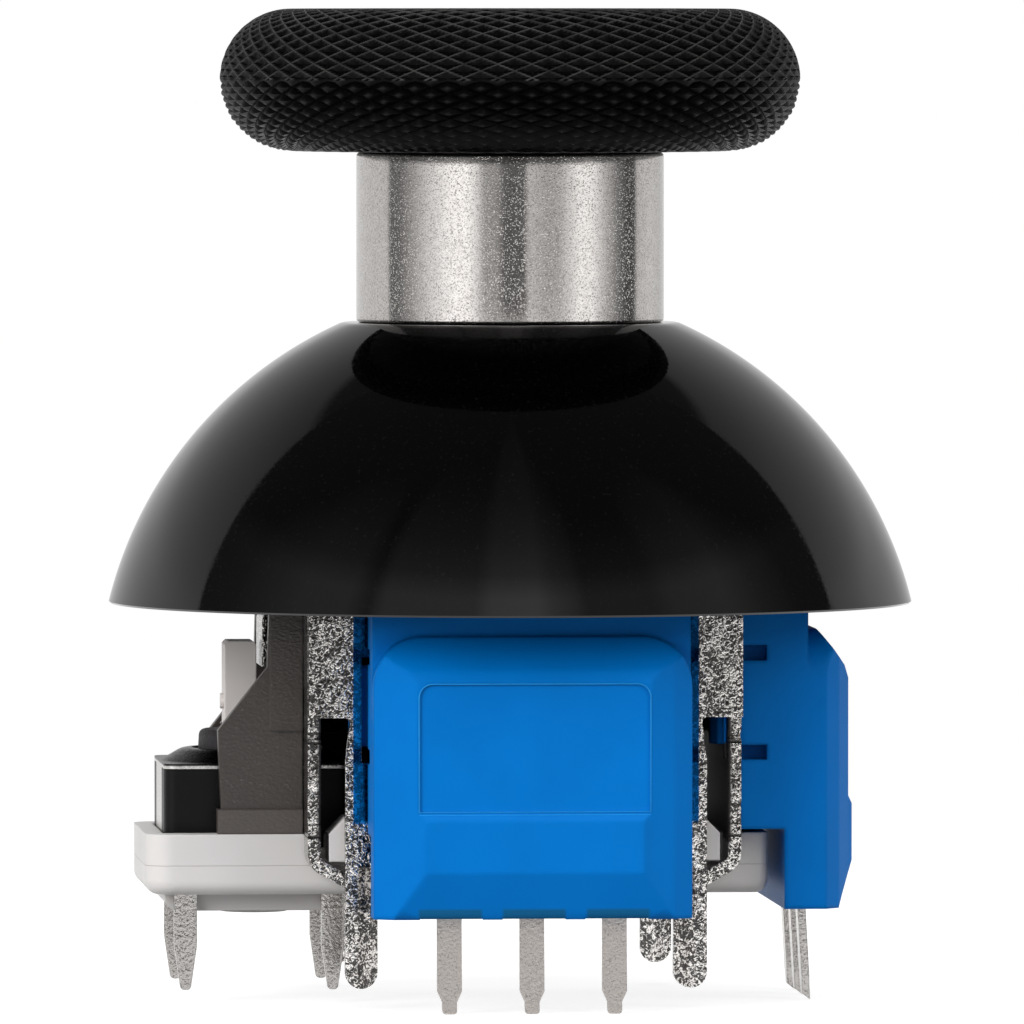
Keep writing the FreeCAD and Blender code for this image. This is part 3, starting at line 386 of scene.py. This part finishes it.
def crystal_nickel(name, tint, crystal_mm, depth_mm, soft_edge_mm):
    """Plated sheet with a skin of fine crystals, crimped joints and soft edges; the crystals' strong light and dark in
    the colour are painted glints, and the inner faces carry painted shade.
    """
    material, tree = tree_of(name)
    where = place(tree)
    x, y, z = axes(tree, where)
    across, back = maths(tree, "ABSOLUTE", x), maths(tree, "ABSOLUTE", y)
    crystals = noise(tree, where, crystal_mm, 1.0, 0.5, 1.2)
    patches = noise(tree, where, crystal_mm * 6, 2.0, 0.6)

    off_crimp = maths(tree, "MINIMUM", *(off(tree, z, height * MM) for height in crimp_z))
    off_crimp = maths(tree, "MAXIMUM", off_crimp, maths(tree, "SUBTRACT", crimp_from_x * MM, across))
    plain = ranged(tree, off_crimp, 0.02 * MM, 0.06 * MM)
    swell = bumped(tree, patches, 1.5 * depth_mm, rounded(tree, soft_edge_mm))
    normal = bumped(tree, crystals, depth_mm, bumped(tree, plain, 0.04, swell))

    in_front = maths(tree, "LESS_THAN", y, frame_front_y * MM)
    beside = maths(tree, "MULTIPLY", ranged(tree, across, edge_x[0] * MM, edge_x[1] * MM), in_front)
    beside = maths(tree, "MULTIPLY", beside, ranged(tree, z, edge_z[0] * MM, edge_z[1] * MM))
    lean = maths(tree, "MULTIPLY", maths(tree, "MULTIPLY", maths(tree, "SIGN", x), beside), -edge_lean)
    lean = add(tree, "ShaderNodeCombineXYZ", {0: lean}).outputs[0]
    normal = add(tree, "ShaderNodeVectorMath", {0: normal, 1: lean}, operation="ADD").outputs[0]
    normal = add(tree, "ShaderNodeVectorMath", {0: normal}, operation="NORMALIZE").outputs[0]

    # The crystal pattern is real grain, but its strong light and dark in the colour are painted glints; the sheet's
    # edges beside the cover are painted lighter
    level = maths(tree, "ADD", crystals, ranged(tree, patches, 0.3, 0.7, -0.08, 0.08))
    glint_share = maths(tree, "MULTIPLY", ranged(tree, level, 0.47, 0.59), plain)
    glint_share = maths(tree, "MAXIMUM", glint_share, maths(tree, "MULTIPLY", beside, edge_least_glint))
    skin = mixed(tree, glint_share, toned(tint, 0.09), tint)
    # Painted shade: the frame's inner faces, above a given height, are painted near black and rougher
    reach = maths(tree, "MAXIMUM", across, back)
    outside = maths(tree, "MAXIMUM", ranged(tree, reach, frame_inner * MM, (frame_inner + 0.1) * MM),
                    ranged(tree, z, (inner_shade_from_z + 0.2) * MM, inner_shade_from_z * MM))
    base = mixed(tree, outside, (0.05, 0.045, 0.042, 1), skin)
    rough = maths(tree, "MAXIMUM", ranged(tree, patches, 0.3, 0.7, 0.06, 0.14), ranged(tree, outside, 0, 1, 0.5, 0))
    surface(tree, Base_Color=base, Metallic=1.0, Roughness=rough, Normal=normal)
    return material


def tinned_strip(name, tint, depth_mm, pit_share, rough, edge_mm):
    """Stamped terminal: fine hammered skin with small dark pits."""
    material, tree = tree_of(name)
    where = place(tree)
    hammer = noise(tree, where, 0.11, 2.0, 0.55, 0.3)
    specks = noise(tree, where, 0.05, 1.0)
    normal = bumped(tree, hammer, depth_mm, rounded(tree, edge_mm))
    base = mixed(tree, ranged(tree, specks, 0.3, 0.42), toned(tint, pit_share), tint)
    surface(tree, Base_Color=base, Metallic=1.0, Roughness=ranged(tree, hammer, 0.3, 0.7, rough, rough + 0.1),
            Normal=normal)
    return material


def switch_lid(name, tint):
    """Polished lid whose raised disc is painted near black, a painted reflection of the dark works beside it."""
    material, tree = tree_of(name)
    where = place(tree)
    grain = noise(tree, where, 0.1, 3.0, 0.6)
    height = axes(tree, where)[2]
    dark_reflection_disc = ranged(tree, height, (lid_top_z + 0.02) * MM, (lid_top_z + 0.06) * MM)
    # Painted reflection: the raised disc is painted near black
    base = mixed(tree, dark_reflection_disc, tint, (0.012, 0.012, 0.012, 1))
    surface(tree, Base_Color=base, Metallic=1.0, Roughness=ranged(tree, grain, 0.3, 0.7, 0.22, 0.36),
            Normal=bumped(tree, grain, 0.012, rounded(tree, 0.05)))
    return material


def parted_grey(name, tint):
    """Light grey moulding with the fine line that the two halves of the mould leave."""
    material, tree = tree_of(name)
    where = place(tree)
    grain = noise(tree, where, 0.08, 2.0)
    drift = noise(tree, where, 2.5, 2.0)
    off_line = off(tree, axes(tree, where)[2], parting_z * MM)
    plain = ranged(tree, off_line, 0.0, 0.03 * MM, smooth=True)
    base = mixed(tree, ranged(tree, drift, 0.35, 0.65), toned(tint, 0.96), tint)
    base = mixed(tree, plain, toned(tint, 0.86), base)
    normal = bumped(tree, plain, 0.012, bumped(tree, grain, 0.0015, rounded(tree, 0.08)))
    surface(tree, Base_Color=base, Roughness=ranged(tree, grain, 0.3, 0.7, 0.4, 0.52), Specular_IOR_Level=0.35,
            Subsurface_Weight=0.12, Subsurface_Radius=(0.8, 0.75, 0.7), Subsurface_Scale=0.3 * MM, Normal=normal)
    return material


def anodised_black(name):
    """Matt black coat of the knurled ring, greyer where it is dusty; its upper ridges are painted paler, partly as
    wear and partly as painted highlight, and the tops of its lower diamonds carry a painted highlight.
    """
    material, tree = tree_of(name)
    where = place(tree)
    dust = noise(tree, where, 0.08, 3.0, 0.7)
    blotch = noise(tree, where, 0.7, 2.0)
    base = mixed(tree, ranged(tree, dust, 0.58, 0.75), (0.001, 0.001, 0.0011, 1), (0.007, 0.0068, 0.0068, 1))
    # Painted highlight: the marked ridges and diamond tops are painted paler
    wear_and_sheen_marks = add(tree, "ShaderNodeAttribute", attribute_name="wear_and_sheen").outputs["Fac"]
    shown = maths(tree, "MULTIPLY", ranged(tree, wear_and_sheen_marks, 0.5, 1.0), ranged(tree, blotch, 0.35, 0.65, 0.25, 1.0))
    base = mixed(tree, ranged(tree, wear_and_sheen_marks, 0.12, 0.45, smooth=True), base, (0.011, 0.0108, 0.0108, 1))
    base = mixed(tree, shown, base, (0.075, 0.073, 0.072, 1))
    surface(tree, Base_Color=base, Roughness=ranged(tree, blotch, 0.3, 0.7, 0.3, 0.44), Specular_IOR_Level=0.07,
            Normal=bumped(tree, dust, 0.0015))
    return material


def laminate_board(name):
    """Green solder mask over woven glass."""
    material, tree = tree_of(name)
    where = place(tree)
    weave = noise(tree, place(tree, (1, 1, 0.2)), 0.15, 1.0)
    blotch = noise(tree, where, 1.2)
    base = mixed(tree, blotch, (0.004, 0.05, 0.018, 1), (0.008, 0.085, 0.03, 1))
    surface(tree, Base_Color=base, Roughness=0.35, Normal=bumped(tree, weave, 0.004))
    return material


blue = moulded_plastic("blue_plastic", colour(0, 113, 197), 0.45, 0.05, 0.0012, 0.06, gloss=0.08, soft_edge=0.22,
                       thin=colour(18, 96, 146))
# Painted highlight: a paler blue for the fine lines round the panel
blue_highlight_line = moulded_plastic("blue_highlight_line", colour(30, 150, 228), 0.4, 0.05, 0.0012, 0.06, gloss=0.3)
light_grey = parted_grey("light_grey_plastic", colour(216, 213, 211))
slider_grey = moulded_plastic("slider_grey_plastic", colour(221, 215, 212), 0.5, 0.08, 0.002, 0.12)
dark_plastic = moulded_plastic("dark_plastic", colour(9, 9, 10), 0.4, 0.07, 0.004, 0.3, gloss=0.2)
white_plastic = moulded_plastic("white_plastic", colour(228, 226, 220), 0.45)
button_plastic = moulded_plastic("button_plastic", colour(46, 44, 46), 0.6, 0.09, 0.03, 0.3)
chip_black = moulded_plastic("chip_black", colour(24, 24, 24), 0.5, 0.05, 0.003, 0.2)
taupe = grained_plastic("taupe_plastic", colour(66, 61, 58), 0.1, 0.012, 0.4)
nickel = crystal_nickel("nickel_sheet", (0.9, 0.87, 0.84, 1), 0.1, 0.014, 0.08)
tinned = tinned_strip("tinned_metal", (0.63, 0.585, 0.55, 1), 0.012, 0.6, 0.4, 0.05)
pin_metal = tinned_strip("pin_metal", (0.52, 0.5, 0.48, 1), 0.012, 0.3, 0.16, 0.14)
lid_metal = switch_lid("switch_lid_metal", (0.76, 0.74, 0.72, 1))
spring_steel = plated_metal("spring_steel", (0.7, 0.7, 0.7, 1), 0.1, 0.003, 0.2)
turned_steel = plated_metal("turned_steel", (0.62, 0.61, 0.6, 1), 0.08, 0.003, 0.3)
magnet_metal = plated_metal("magnet_nickel", (0.75, 0.75, 0.74, 1), 0.1, 0.002, 0.15)
steel = blasted_steel("satin_steel")
gloss_black = polished_black("gloss_black_plastic")
ring_black = anodised_black("black_anodised")
green_board = laminate_board("green_board")


def paint(obj, material):
    """Gives an object one material."""
    obj.data.materials.clear()
    obj.data.materials.append(material)


def as_object(name, data):
    """New object in the scene, made of a mesh, a curve, a lamp or a camera."""
    thing = bpy.data.objects.new(name, data)
    bpy.context.scene.collection.objects.link(thing)
    return thing


def shade(mesh, angle_degrees):
    """Smooth shading that breaks at edges sharper than the angle."""
    mesh.shade_smooth()
    mesh.set_sharp_from_angle(angle=math.radians(angle_degrees))


def stands_for(piece, node, body):
    """Puts a piece on its body, in the place of a CAD node."""
    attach(piece, body)
    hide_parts(node)


def refined(node, name, material, move):
    """Copy of a CAD node whose points are moved a little; move takes and gives millimetres."""
    mesh = nodes[node].data.copy()
    mesh.name = name
    for point in mesh.vertices:
        point.co = Vector(move(*(point.co / MM))) * MM
    mesh.update()
    shade(mesh, 30)
    piece = as_object(name, mesh)
    paint(piece, material)
    stands_for(piece, node, "module")
    return piece


def pressed(node, name):
    """Copy of a springy CAD node in spring steel, with a mesh of its own."""
    piece = refined(node, name, spring_steel, lambda x, y, z: (x, y, z))
    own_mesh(piece)


def bead(name, points, radius_mm, closed=True):
    """Fine raised line on the front cover, in a paler blue that is a painted highlight, along points in millimetres.
    """
    data = bpy.data.curves.new(name, "CURVE")
    data.dimensions = "3D"
    data.bevel_depth = radius_mm * MM
    data.bevel_resolution = 2
    line = data.splines.new("POLY")
    line.points.add(len(points) - 1)
    for spot, place_mm in zip(line.points, points):
        spot.co = (*(Vector(place_mm) * MM), 1)
    line.use_cyclic_u = closed
    piece = as_object(name, data)
    piece.data.materials.append(blue_highlight_line)
    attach(piece, "module")


def arc(radius, centre_r, centre_z, start, end, steps):
    """Points (r, z) on an arc; angles in degrees from the outward level direction."""
    angles = [math.radians(start + (end - start) * i / steps) for i in range(steps + 1)]
    return [(centre_r + radius * math.cos(a), centre_z + radius * math.sin(a)) for a in angles]


def front_cover():
    """Front cover with its panel and band at the heights that show, and the fine lines round them."""
    cad, seen = zip(*cover_levels)

    def move(x, y, z):
        in_scoop = y < -cover_scoop_from and z < cover_scoop_top
        return (x, y, float(np.interp(z, cad, seen))) if y < -cover_front_from or in_scoop else (x, y, z)

    refined("front_sensor_cover", "front_cover_moulding", blue, move)
    low, high = panel_z
    right = arc(panel_corner, panel_half - panel_corner, high - panel_corner, 0, 90, 6)
    left = [(-x, z) for x, z in reversed(right)]
    outline = [(panel_half, low), *right, *left, (-panel_half, low)]
    groove = [(x, -cover_face, low - groove_drop) for x in (-panel_half, panel_half)]
    bead("panel_line", [(x, -cover_face, z) for x, z in outline], panel_line_r)
    bead("groove_line", groove, groove_line_r, closed=False)


def frame_sheet():
    """Frame with the slots beside the front cover as narrow as they show."""
    def move(x, y, z):
        in_slot = y < frame_front_y and abs(abs(x) - slot_cad_x) < slot_match
        return (math.copysign(slot_seen_x, x), y, z) if in_slot else (x, y, z)

    refined("frame", "frame_sheet", nickel, move)


def lathed(name, profile, around, material):
    """Closed solid of revolution; its (r, z) points, in millimetres, end on the axis or where they began."""
    soft = bmesh.new()
    rows = []
    for r, z in profile:
        if r < 1e-6:
            rows.append([soft.verts.new((0, 0, z * MM))])
            continue
        turns = [2 * math.pi * i / around for i in range(around)]
        rows.append([soft.verts.new((r * MM * math.cos(t), r * MM * math.sin(t), z * MM)) for t in turns])
    for low, high in zip(rows, rows[1:]):
        for i in range(around):
            j = (i + 1) % around
            corners = [low[i % len(low)], low[j % len(low)], high[j % len(high)], high[i % len(high)]]
            corners = list(dict.fromkeys(corners))
            if len(corners) > 2:
                soft.faces.new(corners)
    bmesh.ops.recalc_face_normals(soft, faces=soft.faces)
    mesh = bpy.data.meshes.new(name)
    soft.to_mesh(mesh)
    soft.free()
    shade(mesh, 30)
    piece = as_object(name, mesh)
    paint(piece, material)
    return piece


def skirt():
    """Hemispherical skirt with its post and core, finely turned."""
    lip = skirt_lip
    inner_r = skirt_r - skirt_wall
    rim_angle = math.degrees(math.asin((skirt_rim_z - pivot_z + lip) / skirt_r))
    inner_rim = math.degrees(math.asin((skirt_rim_z - pivot_z + lip) / inner_r))
    top_angle = math.degrees(math.acos((skirt_shoulder_r + lip) / skirt_r))
    ceiling_angle = math.degrees(math.asin((skirt_ceiling_z - pivot_z) / inner_r))
    outer = arc(skirt_r, 0, pivot_z, rim_angle, top_angle, skirt_rows[0])
    inner = arc(inner_r, 0, pivot_z, ceiling_angle, inner_rim, skirt_rows[1])
    rim_out = outer[0][0]
    rim_in = inner[-1][0]
    profile = [(0, cap_post_bottom_z), (cap_post_r, cap_post_bottom_z), (cap_post_r, skirt_ceiling_z)]
    profile += inner + [(rim_in + lip, skirt_rim_z), (rim_out - lip, skirt_rim_z)] + outer
    profile += [(skirt_shoulder_r - lip, skirt_shoulder_z), (cap_core_r, skirt_shoulder_z)]
    profile += [(cap_core_r, cap_core_top_z), (0, cap_core_top_z)]
    piece = lathed("skirt_shell", profile, skirt_around, gloss_black)
    stands_for(piece, "dome_skirt", "lever")


def sleeve():
    """Tube on the skirt's shoulder, with rounded edges."""
    foot_z = skirt_shoulder_z
    bore_r = cap_core_r + fit_gap
    edge = sleeve_edge
    profile = [(bore_r, foot_z), (sleeve_r - edge, foot_z)]
    profile += arc(edge, sleeve_r - edge, foot_z + edge, -90, 0, 4)[1:]
    profile += arc(edge, sleeve_r - edge, sleeve_top_z - edge, 0, 90, 4)
    profile += [(bore_r, sleeve_top_z), (bore_r, foot_z)]
    piece = lathed("sleeve_tube", profile, sleeve_around, steel)
    merge(piece)
    stands_for(piece, "stem_sleeve", "lever")


def merge(piece):
    """Joins points that coincide."""
    soft = bmesh.new()
    soft.from_mesh(piece.data)
    bmesh.ops.remove_doubles(soft, verts=soft.verts, dist=0.0002 * MM)
    bmesh.ops.recalc_face_normals(soft, faces=soft.faces)
    soft.to_mesh(piece.data)
    soft.free()


def knurled_ring():
    """Grip ring: smooth hollow top and underside, and a round edge with crossing ridges above and diamonds below."""
    steps = knurl_steps
    around = knurl_count * steps
    rows = 2 * round(90 / knurl_degrees * steps)
    points, faces, wear_and_sheen_marks = [], [], []

    def wave(phase):
        return 1 - abs(2 * (phase % 1) - 1)

    def relief(turn, rise):
        """How deep the surface is cut below the ring's envelope, in millimetres, and how much it is painted paler, as
        wear and as painted highlight.
        """
        upper = rise > 1e-9
        lift = rise + (knurl_shift if upper else 0)
        peak = min(wave(turn + lift), wave(turn - lift))
        # The upper ridges are marked partly as wear and partly as painted highlight; the tops of the lower diamonds as
        # painted highlight
        if upper:
            return knurl_depth * 0.8 * min(1.0, 1.3 * peak) ** 0.6, float(peak < 0.01)
        uneven = math.sin(12.9 * math.floor(turn + lift) + 78.2 * math.floor(turn - lift))
        dome = min(1.0, 1.18 * peak) ** 0.85
        return knurl_depth * (1 - dome * (0.94 + 0.06 * uneven)), 0.45 * peak ** 2

    for row in range(rows + 1):
        rise = (row - rows / 2) / steps
        angle = math.radians(rise * knurl_degrees)
        fade = max(0.0, min(1.0, (90 - abs(math.degrees(angle))) / knurl_fade))
        for column in range(around):
            cut, wear_and_sheen = relief(column / steps, rise)
            radius = ring_edge_r - cut * fade
            wear_and_sheen_marks.append(wear_and_sheen * fade)
            turn = 2 * math.pi * column / around
            r = ring_middle_r + radius * math.cos(angle)
            z = ring_middle_z + radius * math.sin(angle)
            points.append((r * math.cos(turn), r * math.sin(turn), z))
    # Each square is split along the ridge or groove that crosses it
    for row in range(rows):
        rise = row - rows // 2
        shift = round(knurl_shift * steps) if rise >= 0 else 0
        for column in range(around):
            a = row * around + column
            b = row * around + (column + 1) % around
            c, d = a + around, b + around
            if (column + rise + shift + 1) % (steps // 2) == 0:
                faces += [(a, b, c), (b, d, c)]
            else:
                faces += [(a, b, d), (a, d, c)]
    sphere_r = (ring_land_r ** 2 + ring_dish ** 2) / (2 * ring_dish)
    over_z = ring_middle_z + ring_edge_r
    top = [(ring_land_r, over_z)]
    for share in (0.8, 0.6, 0.4, 0.2):
        r = ring_land_r * share
        top.append((r, over_z - ring_dish + sphere_r - math.sqrt(sphere_r ** 2 - r ** 2)))
    socket_r = cap_core_r + fit_gap
    socket_z = cap_core_top_z + fit_gap
    under = [(sleeve_r, ring_middle_z - ring_edge_r), (sleeve_r, sleeve_top_z), (socket_r, sleeve_top_z),
             (socket_r, socket_z)]

    def add_rows(profile, last, middle, flip):
        """Rings of points from the knurl's end row inward, closed by a point on the axis."""
        for r, z in profile:
            start = len(points)
            for column in range(around):
                turn = 2 * math.pi * column / around
                points.append((r * math.cos(turn), r * math.sin(turn), z))
            for column in range(around):
                a, b = last + column, last + (column + 1) % around
                c, d = start + column, start + (column + 1) % around
                faces.append((a, c, d, b) if flip else (a, b, d, c))
            last = start
        points.append((0, 0, middle))
        centre = len(points) - 1
        for column in range(around):
            a, b = last + column, last + (column + 1) % around
            faces.append((b, a, centre) if flip else (a, b, centre))

    add_rows(top, rows * around, over_z - ring_dish, False)
    add_rows(under, 0, socket_z, True)
    mesh = bpy.data.meshes.new("knurled_ring")
    mesh.from_pydata([Vector(p) * MM for p in points], [], faces)
    mesh.validate()
    wear_and_sheen = mesh.attributes.new("wear_and_sheen", "FLOAT", "POINT")
    wear_and_sheen.data.foreach_set("value", wear_and_sheen_marks + [0.0] * (len(points) - len(wear_and_sheen_marks)))
    shade(mesh, 50)
    piece = as_object("knurled_ring", mesh)
    paint(piece, ring_black)
    stands_for(piece, "grip_ring", "lever")


skirt()
sleeve()
knurled_ring()

front_cover()
frame_sheet()
pressed("return_spring", "coil_spring")
pressed("switch_snap_dome", "snap_dome")

finishes = {
    "base": light_grey, "side_sensor_cover": blue, "switch_bracket": taupe, "press_slider": slider_grey,
    "switch_body": dark_plastic, "switch_cover": lid_metal, "switch_button": button_plastic,
    "front_terminals": tinned, "side_terminals": pin_metal, "switch_terminals": pin_metal,
    "lever": turned_steel, "lower_gimbal": dark_plastic, "upper_gimbal": dark_plastic,
    "spring_seat": white_plastic, "front_rotor": white_plastic, "side_rotor": white_plastic,
    "front_magnet": magnet_metal, "side_magnet": magnet_metal,
    "front_circuit_board": green_board, "side_circuit_board": green_board,
    "front_field_sensor": chip_black, "side_field_sensor": chip_black,
}
for node, material in finishes.items():
    paint(nodes[node], material)
    shade(nodes[node].data, 30)


def level_at(tree, value, stops):
    """Level read from (position, level) stops, with positions between 0 and 1."""
    ramp = add(tree, "ShaderNodeValToRGB", {0: value})
    elements = ramp.color_ramp.elements
    elements.remove(elements[1])
    for position, level in stops[1:]:
        elements.new(position).color = (level, level, level, 1)
    elements[0].position = stops[0][0]
    elements[0].color = (stops[0][1],) * 3 + (1,)
    return ramp.outputs[0]


def seen_in_gloss(tree):
    """Brightness that a reflection finds in each direction: lit wall behind, soft boxes beside, dark room in front."""
    x, y, z = axes(tree, add(tree, "ShaderNodeTexCoord").outputs["Generated"])
    turn = maths(tree, "ARCTAN2", x, maths(tree, "MULTIPLY", y, -1.0))
    turn = maths(tree, "MULTIPLY_ADD", turn, 0.5 / math.pi, 0.5)
    low, front = (
        level_at(tree, turn, [((azimuth + 180) / 360, level / gloss_top) for azimuth, level in table])
        for table in (gloss_low, gloss_high))
    fade = level_at(tree, z, [(math.sin(math.radians(height)), share) for height, share in gloss_fade])
    wall = level_at(tree, z, [(math.sin(math.radians(height)), level / gloss_top) for height, level in wall_levels])
    is_right = maths(tree, "GREATER_THAN", x, 0.0)
    edge = maths(tree, "ADD", ranged(tree, is_right, 0, 1, *wall_edge), ranged(tree, z, 0, 1, 0, wall_lean))
    inside = ranged(tree, maths(tree, "SUBTRACT", y, edge), -wall_blur, wall_blur)
    high = mix_values(tree, inside, maths(tree, "MULTIPLY", front, fade), wall)
    seen = mix_values(tree, ranged(tree, z, *gloss_join, smooth=True), low, high)
    return maths(tree, "MULTIPLY", maths(tree, "MAXIMUM", seen, gloss_least), gloss_top)


def world():
    """White to the camera, plain soft light on dull surfaces, and a studio in the reflections."""
    studio = bpy.data.worlds.new("studio")
    bpy.context.scene.world = studio
    studio.use_nodes = True
    tree = studio.node_tree
    tree.nodes.clear()
    rays = add(tree, "ShaderNodeLightPath").outputs
    strength = mix_values(tree, rays["Is Glossy Ray"], room_level, seen_in_gloss(tree))
    room = add(tree, "ShaderNodeBackground", {"Color": (1, 1, 1, 1), "Strength": strength})
    white = add(tree, "ShaderNodeBackground", {"Color": (1, 1, 1, 1), "Strength": 1.0})
    shown = maths(tree, "MAXIMUM", rays["Is Camera Ray"], rays["Is Transmission Ray"])
    mix = add(tree, "ShaderNodeMixShader", {0: shown, 1: room.outputs[0], 2: white.outputs[0]})
    output = add(tree, "ShaderNodeOutputWorld")
    tree.links.new(mix.outputs[0], output.inputs[0])


def stage_floor():
    """Pale floor: white to the camera where it is fully lit, and darker in the object's shadow."""
    material, tree = tree_of("pale_floor")
    rays = add(tree, "ShaderNodeLightPath").outputs
    plain = add(tree, "ShaderNodeBsdfDiffuse", {"Color": (floor_tint, floor_tint, floor_tint, 1)})
    shown = maths(tree, "MAXIMUM", rays["Is Camera Ray"], rays["Is Glossy Ray"])
    shown = maths(tree, "MAXIMUM", shown, rays["Is Transmission Ray"])
    lift = add(tree, "ShaderNodeEmission", {"Strength": maths(tree, "MULTIPLY", shown, floor_lift)})
    both = add(tree, "ShaderNodeAddShader", {0: plain.outputs[0], 1: lift.outputs[0]})
    reach = add(tree, "ShaderNodeVectorMath", {0: place(tree)}, operation="LENGTH").outputs["Value"]
    clear = add(tree, "ShaderNodeBsdfTransparent")
    gone = ranged(tree, reach, *floor_fade, smooth=True)
    faded = add(tree, "ShaderNodeMixShader", {0: gone, 1: both.outputs[0], 2: clear.outputs[0]})
    output = add(tree, "ShaderNodeOutputMaterial")
    tree.links.new(faded.outputs[0], output.inputs[0])
    mesh = bpy.data.meshes.new("floor")
    corners = [(floor_half * x, floor_half * y, 0) for x, y in ((-1, -1), (1, -1), (1, 1), (-1, 1))]
    mesh.from_pydata(corners, [], [(0, 1, 2, 3)])
    floor = as_object("floor", mesh)
    floor.location.z = floor_z * MM
    floor.data.materials.append(material)


def towards(azimuth, elevation):
    """Direction from the object, with azimuth 0 in front of it and 90 to its right."""
    a, e = math.radians(azimuth), math.radians(elevation)
    return Vector((math.sin(a) * math.cos(e), -math.cos(a) * math.cos(e), math.sin(e)))


def softbox(name, azimuth, elevation, size, level):
    """Square area lamp that faces the object; level is the light on a surface that faces it squarely."""
    data = bpy.data.lights.new(name, "AREA")
    data.shape = "SQUARE"
    data.size = size
    data.energy = level * math.pi ** 2 * lamp_distance ** 2
    lamp = as_object(name, data)
    back = towards(azimuth, elevation)
    lamp.location = Vector((0, 0, lamp_aim_z * MM)) + back * lamp_distance
    lamp.rotation_euler = (-back).to_track_quat("-Z", "Y").to_euler()
    lamp.visible_camera = False
    lamp.visible_glossy = False


def camera():
    """The view that shows the whole object, at pixels_per_mm."""
    data = bpy.data.cameras.new("camera")
    data.sensor_width = sensor_mm
    data.lens = sensor_mm * camera_distance / (picture_pixels / pixels_per_mm)
    data.clip_start, data.clip_end = 0.01, 20
    view = as_object("camera", data)
    back = towards(camera_azimuth, camera_elevation)
    view.location = (Vector(camera_target) + back * camera_distance) * MM
    view.rotation_euler = (-back).to_track_quat("-Z", "Y").to_euler()
    bpy.context.scene.camera = view


world()
stage_floor()
for lamp in lamps:
    softbox(*lamp)
camera()
bpy.context.scene.view_settings.view_transform = "Standard"
